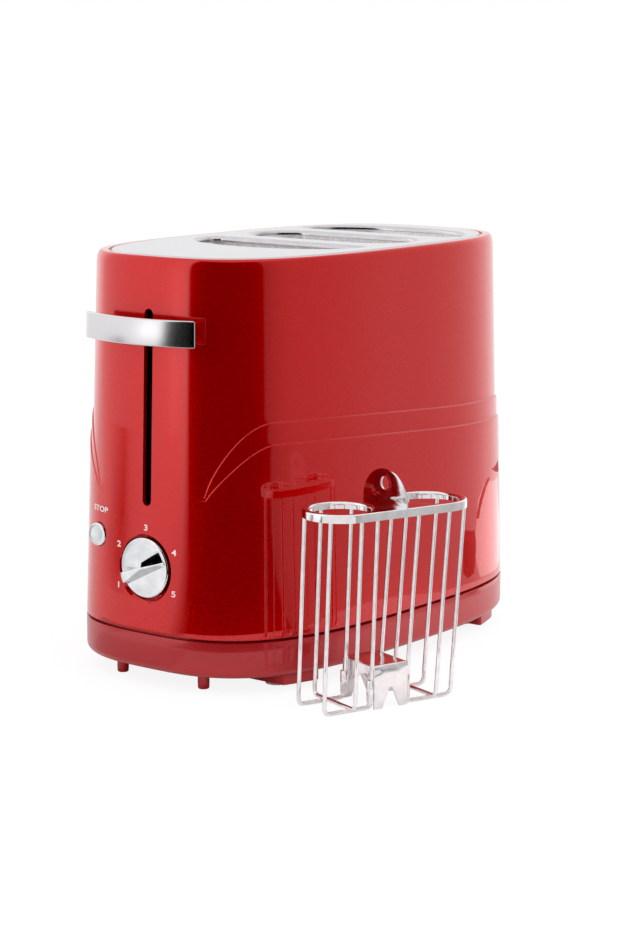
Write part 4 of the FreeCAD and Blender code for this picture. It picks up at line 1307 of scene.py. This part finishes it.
card("grey_flag", [(330, 0.7, [(-57, 1.0), (-42, 0.8), (-36, 0.6), (-32, 0.9), (-29, 1.0),
                               (-18, 1.0)]),
                   (440, 0.7, [(-57, 0.95), (-46, 0.6), (-38.8, 0.15), (-36, 0.85), (-34, 1.0),
                               (-18, 1.0)]),
                   (638, 0.7, [(-57, 1.0), (-50, 0.7), (-41.5, 0.2), (-37.5, 0.85), (-34, 1.05),
                               (-18, 1.05)]),
                   (638, 60, [(-57, 1.0), (-50, 0.85), (-41.5, 0.5), (-37.5, 1.0), (-34, 1.1),
                              (-18, 1.3)])])


def floor_card(name, outline, light=0.0, z=1.0):
    """Flat card on the floor, seen only in reflections."""
    shape = [(x, y, z) for x, y in outline], [tuple(range(len(outline)))]
    lit_card(name, shape, [light] * len(outline), studio_card)


floor_card("long_flag", [(147, 573), (180, 527), (193, 482), (194, 440), (192, 400), (177, 403),
                         (179, 442), (171, 485), (152, 533), (109, 581)])
floor_card("near_flag", [(223, 344), (182, 355), (162, 312), (147, 263), (135, 217), (142, 199),
                         (157, 210), (179, 254), (202, 301)])
floor_card("far_flag", [(94, 617), (-78, 612), (-105, 543), (38, 598)])
floor_card("low_flag", [(136, 170), (127, 175), (114, 186), (113, 197), (131, 184)])
floor_card("rear_glow", [(169, 310), (146, 263), (117, 211), (77, 220), (16, 253), (-36, 370),
                         (-33, 549), (108, 563), (175, 550), (206, 480)], 1.7, 0.8)
floor_card("grip_flag", [(-90, -118), (0, -140), (0, -200), (-130, -160)], 0.55)

# Light that only the basket takes, so its wires stay bright before the dark screen.
basket_tones = [(-8, 0.85), (72, 0.85)]
basket_card = card("basket_card", [(222, 1.5, basket_tones), (630, 1.5, basket_tones),
                                   (630, 900, basket_tones)], basket_room)
basket_pieces = bpy.data.collections.new("basket_pieces")
for piece in (ring, tab, cage, bracket, crimps):
    basket_pieces.objects.link(piece)
basket_card.light_linking.receiver_collection = basket_pieces

key_tones = [(75, 1.7), (165, 1.7)]
key_panel = card("key_panel", [(700, 60, key_tones), (700, 900, key_tones)])
key_panel.visible_diffuse = True
key_panel.visible_glossy = False


def floor_material():
    """White studio sweep: the camera sees it white, with the object's faint shadow."""
    material, tree = new_material("white_studio_floor")
    paper = node(tree, "ShaderNodeBsdfDiffuse", values={"Color": linear("#FFFFFF")})
    bright = node(tree, "ShaderNodeEmission", values={"Color": (1, 1, 1, 1), "Strength": 1.04})
    seen = node(tree, "ShaderNodeMixShader", [(1, paper, "BSDF"), (2, bright, "Emission")],
                {"Fac": 0.85})
    path = node(tree, "ShaderNodeLightPath")
    floor_mix = node(tree, "ShaderNodeMixShader",
                     [("Fac", path, "Is Camera Ray"), (1, paper, "BSDF"), (2, seen, "Shader")])
    node(tree, "ShaderNodeOutputMaterial", [("Surface", floor_mix, "Shader")])
    return material


half_floor = 4000.0
corners = [(x * half_floor, y * half_floor, 0) for x, y in ((-1, -1), (1, -1), (1, 1), (-1, 1))]
floor = new_object("studio_floor", (corners, [(0, 1, 2, 3)]), outward=False)
floor.data.materials.append(floor_material())

world = bpy.data.worlds.new("studio")
scene.world = world
world.use_nodes = True
world.node_tree.nodes.clear()
sky = node(world.node_tree, "ShaderNodeBackground",
           values={"Color": (1, 1, 1, 1), "Strength": 1.0})
node(world.node_tree, "ShaderNodeOutputWorld", [("Surface", sky, "Background")])

# ---- camera ----
camera_data = bpy.data.cameras.new("camera")
camera_data.sensor_width = 36
camera_data.lens = 96.41
camera_data.clip_start = 0.05
camera = bpy.data.objects.new("camera", camera_data)
scene.collection.objects.link(camera)
camera_place = (783.94, -1010.61, 317.73)
azimuth, elevation, roll_angle = 0.6563, 0.1748, 0.004      # in radians
right = Vector((math.cos(azimuth), math.sin(azimuth), 0))
back = Vector((math.sin(azimuth) * math.cos(elevation), -math.cos(azimuth) * math.cos(elevation),
               math.sin(elevation)))
up = back.cross(right)
c, s = math.cos(roll_angle), math.sin(roll_angle)
camera_x = right * c + up * s
camera_y = up * c - right * s
camera.matrix_world = Matrix.Translation(Vector(camera_place) * MM) @ Matrix(
    (camera_x, camera_y, back)).transposed().to_4x4()
scene.camera = camera
scene.view_settings.view_transform = "Standard"
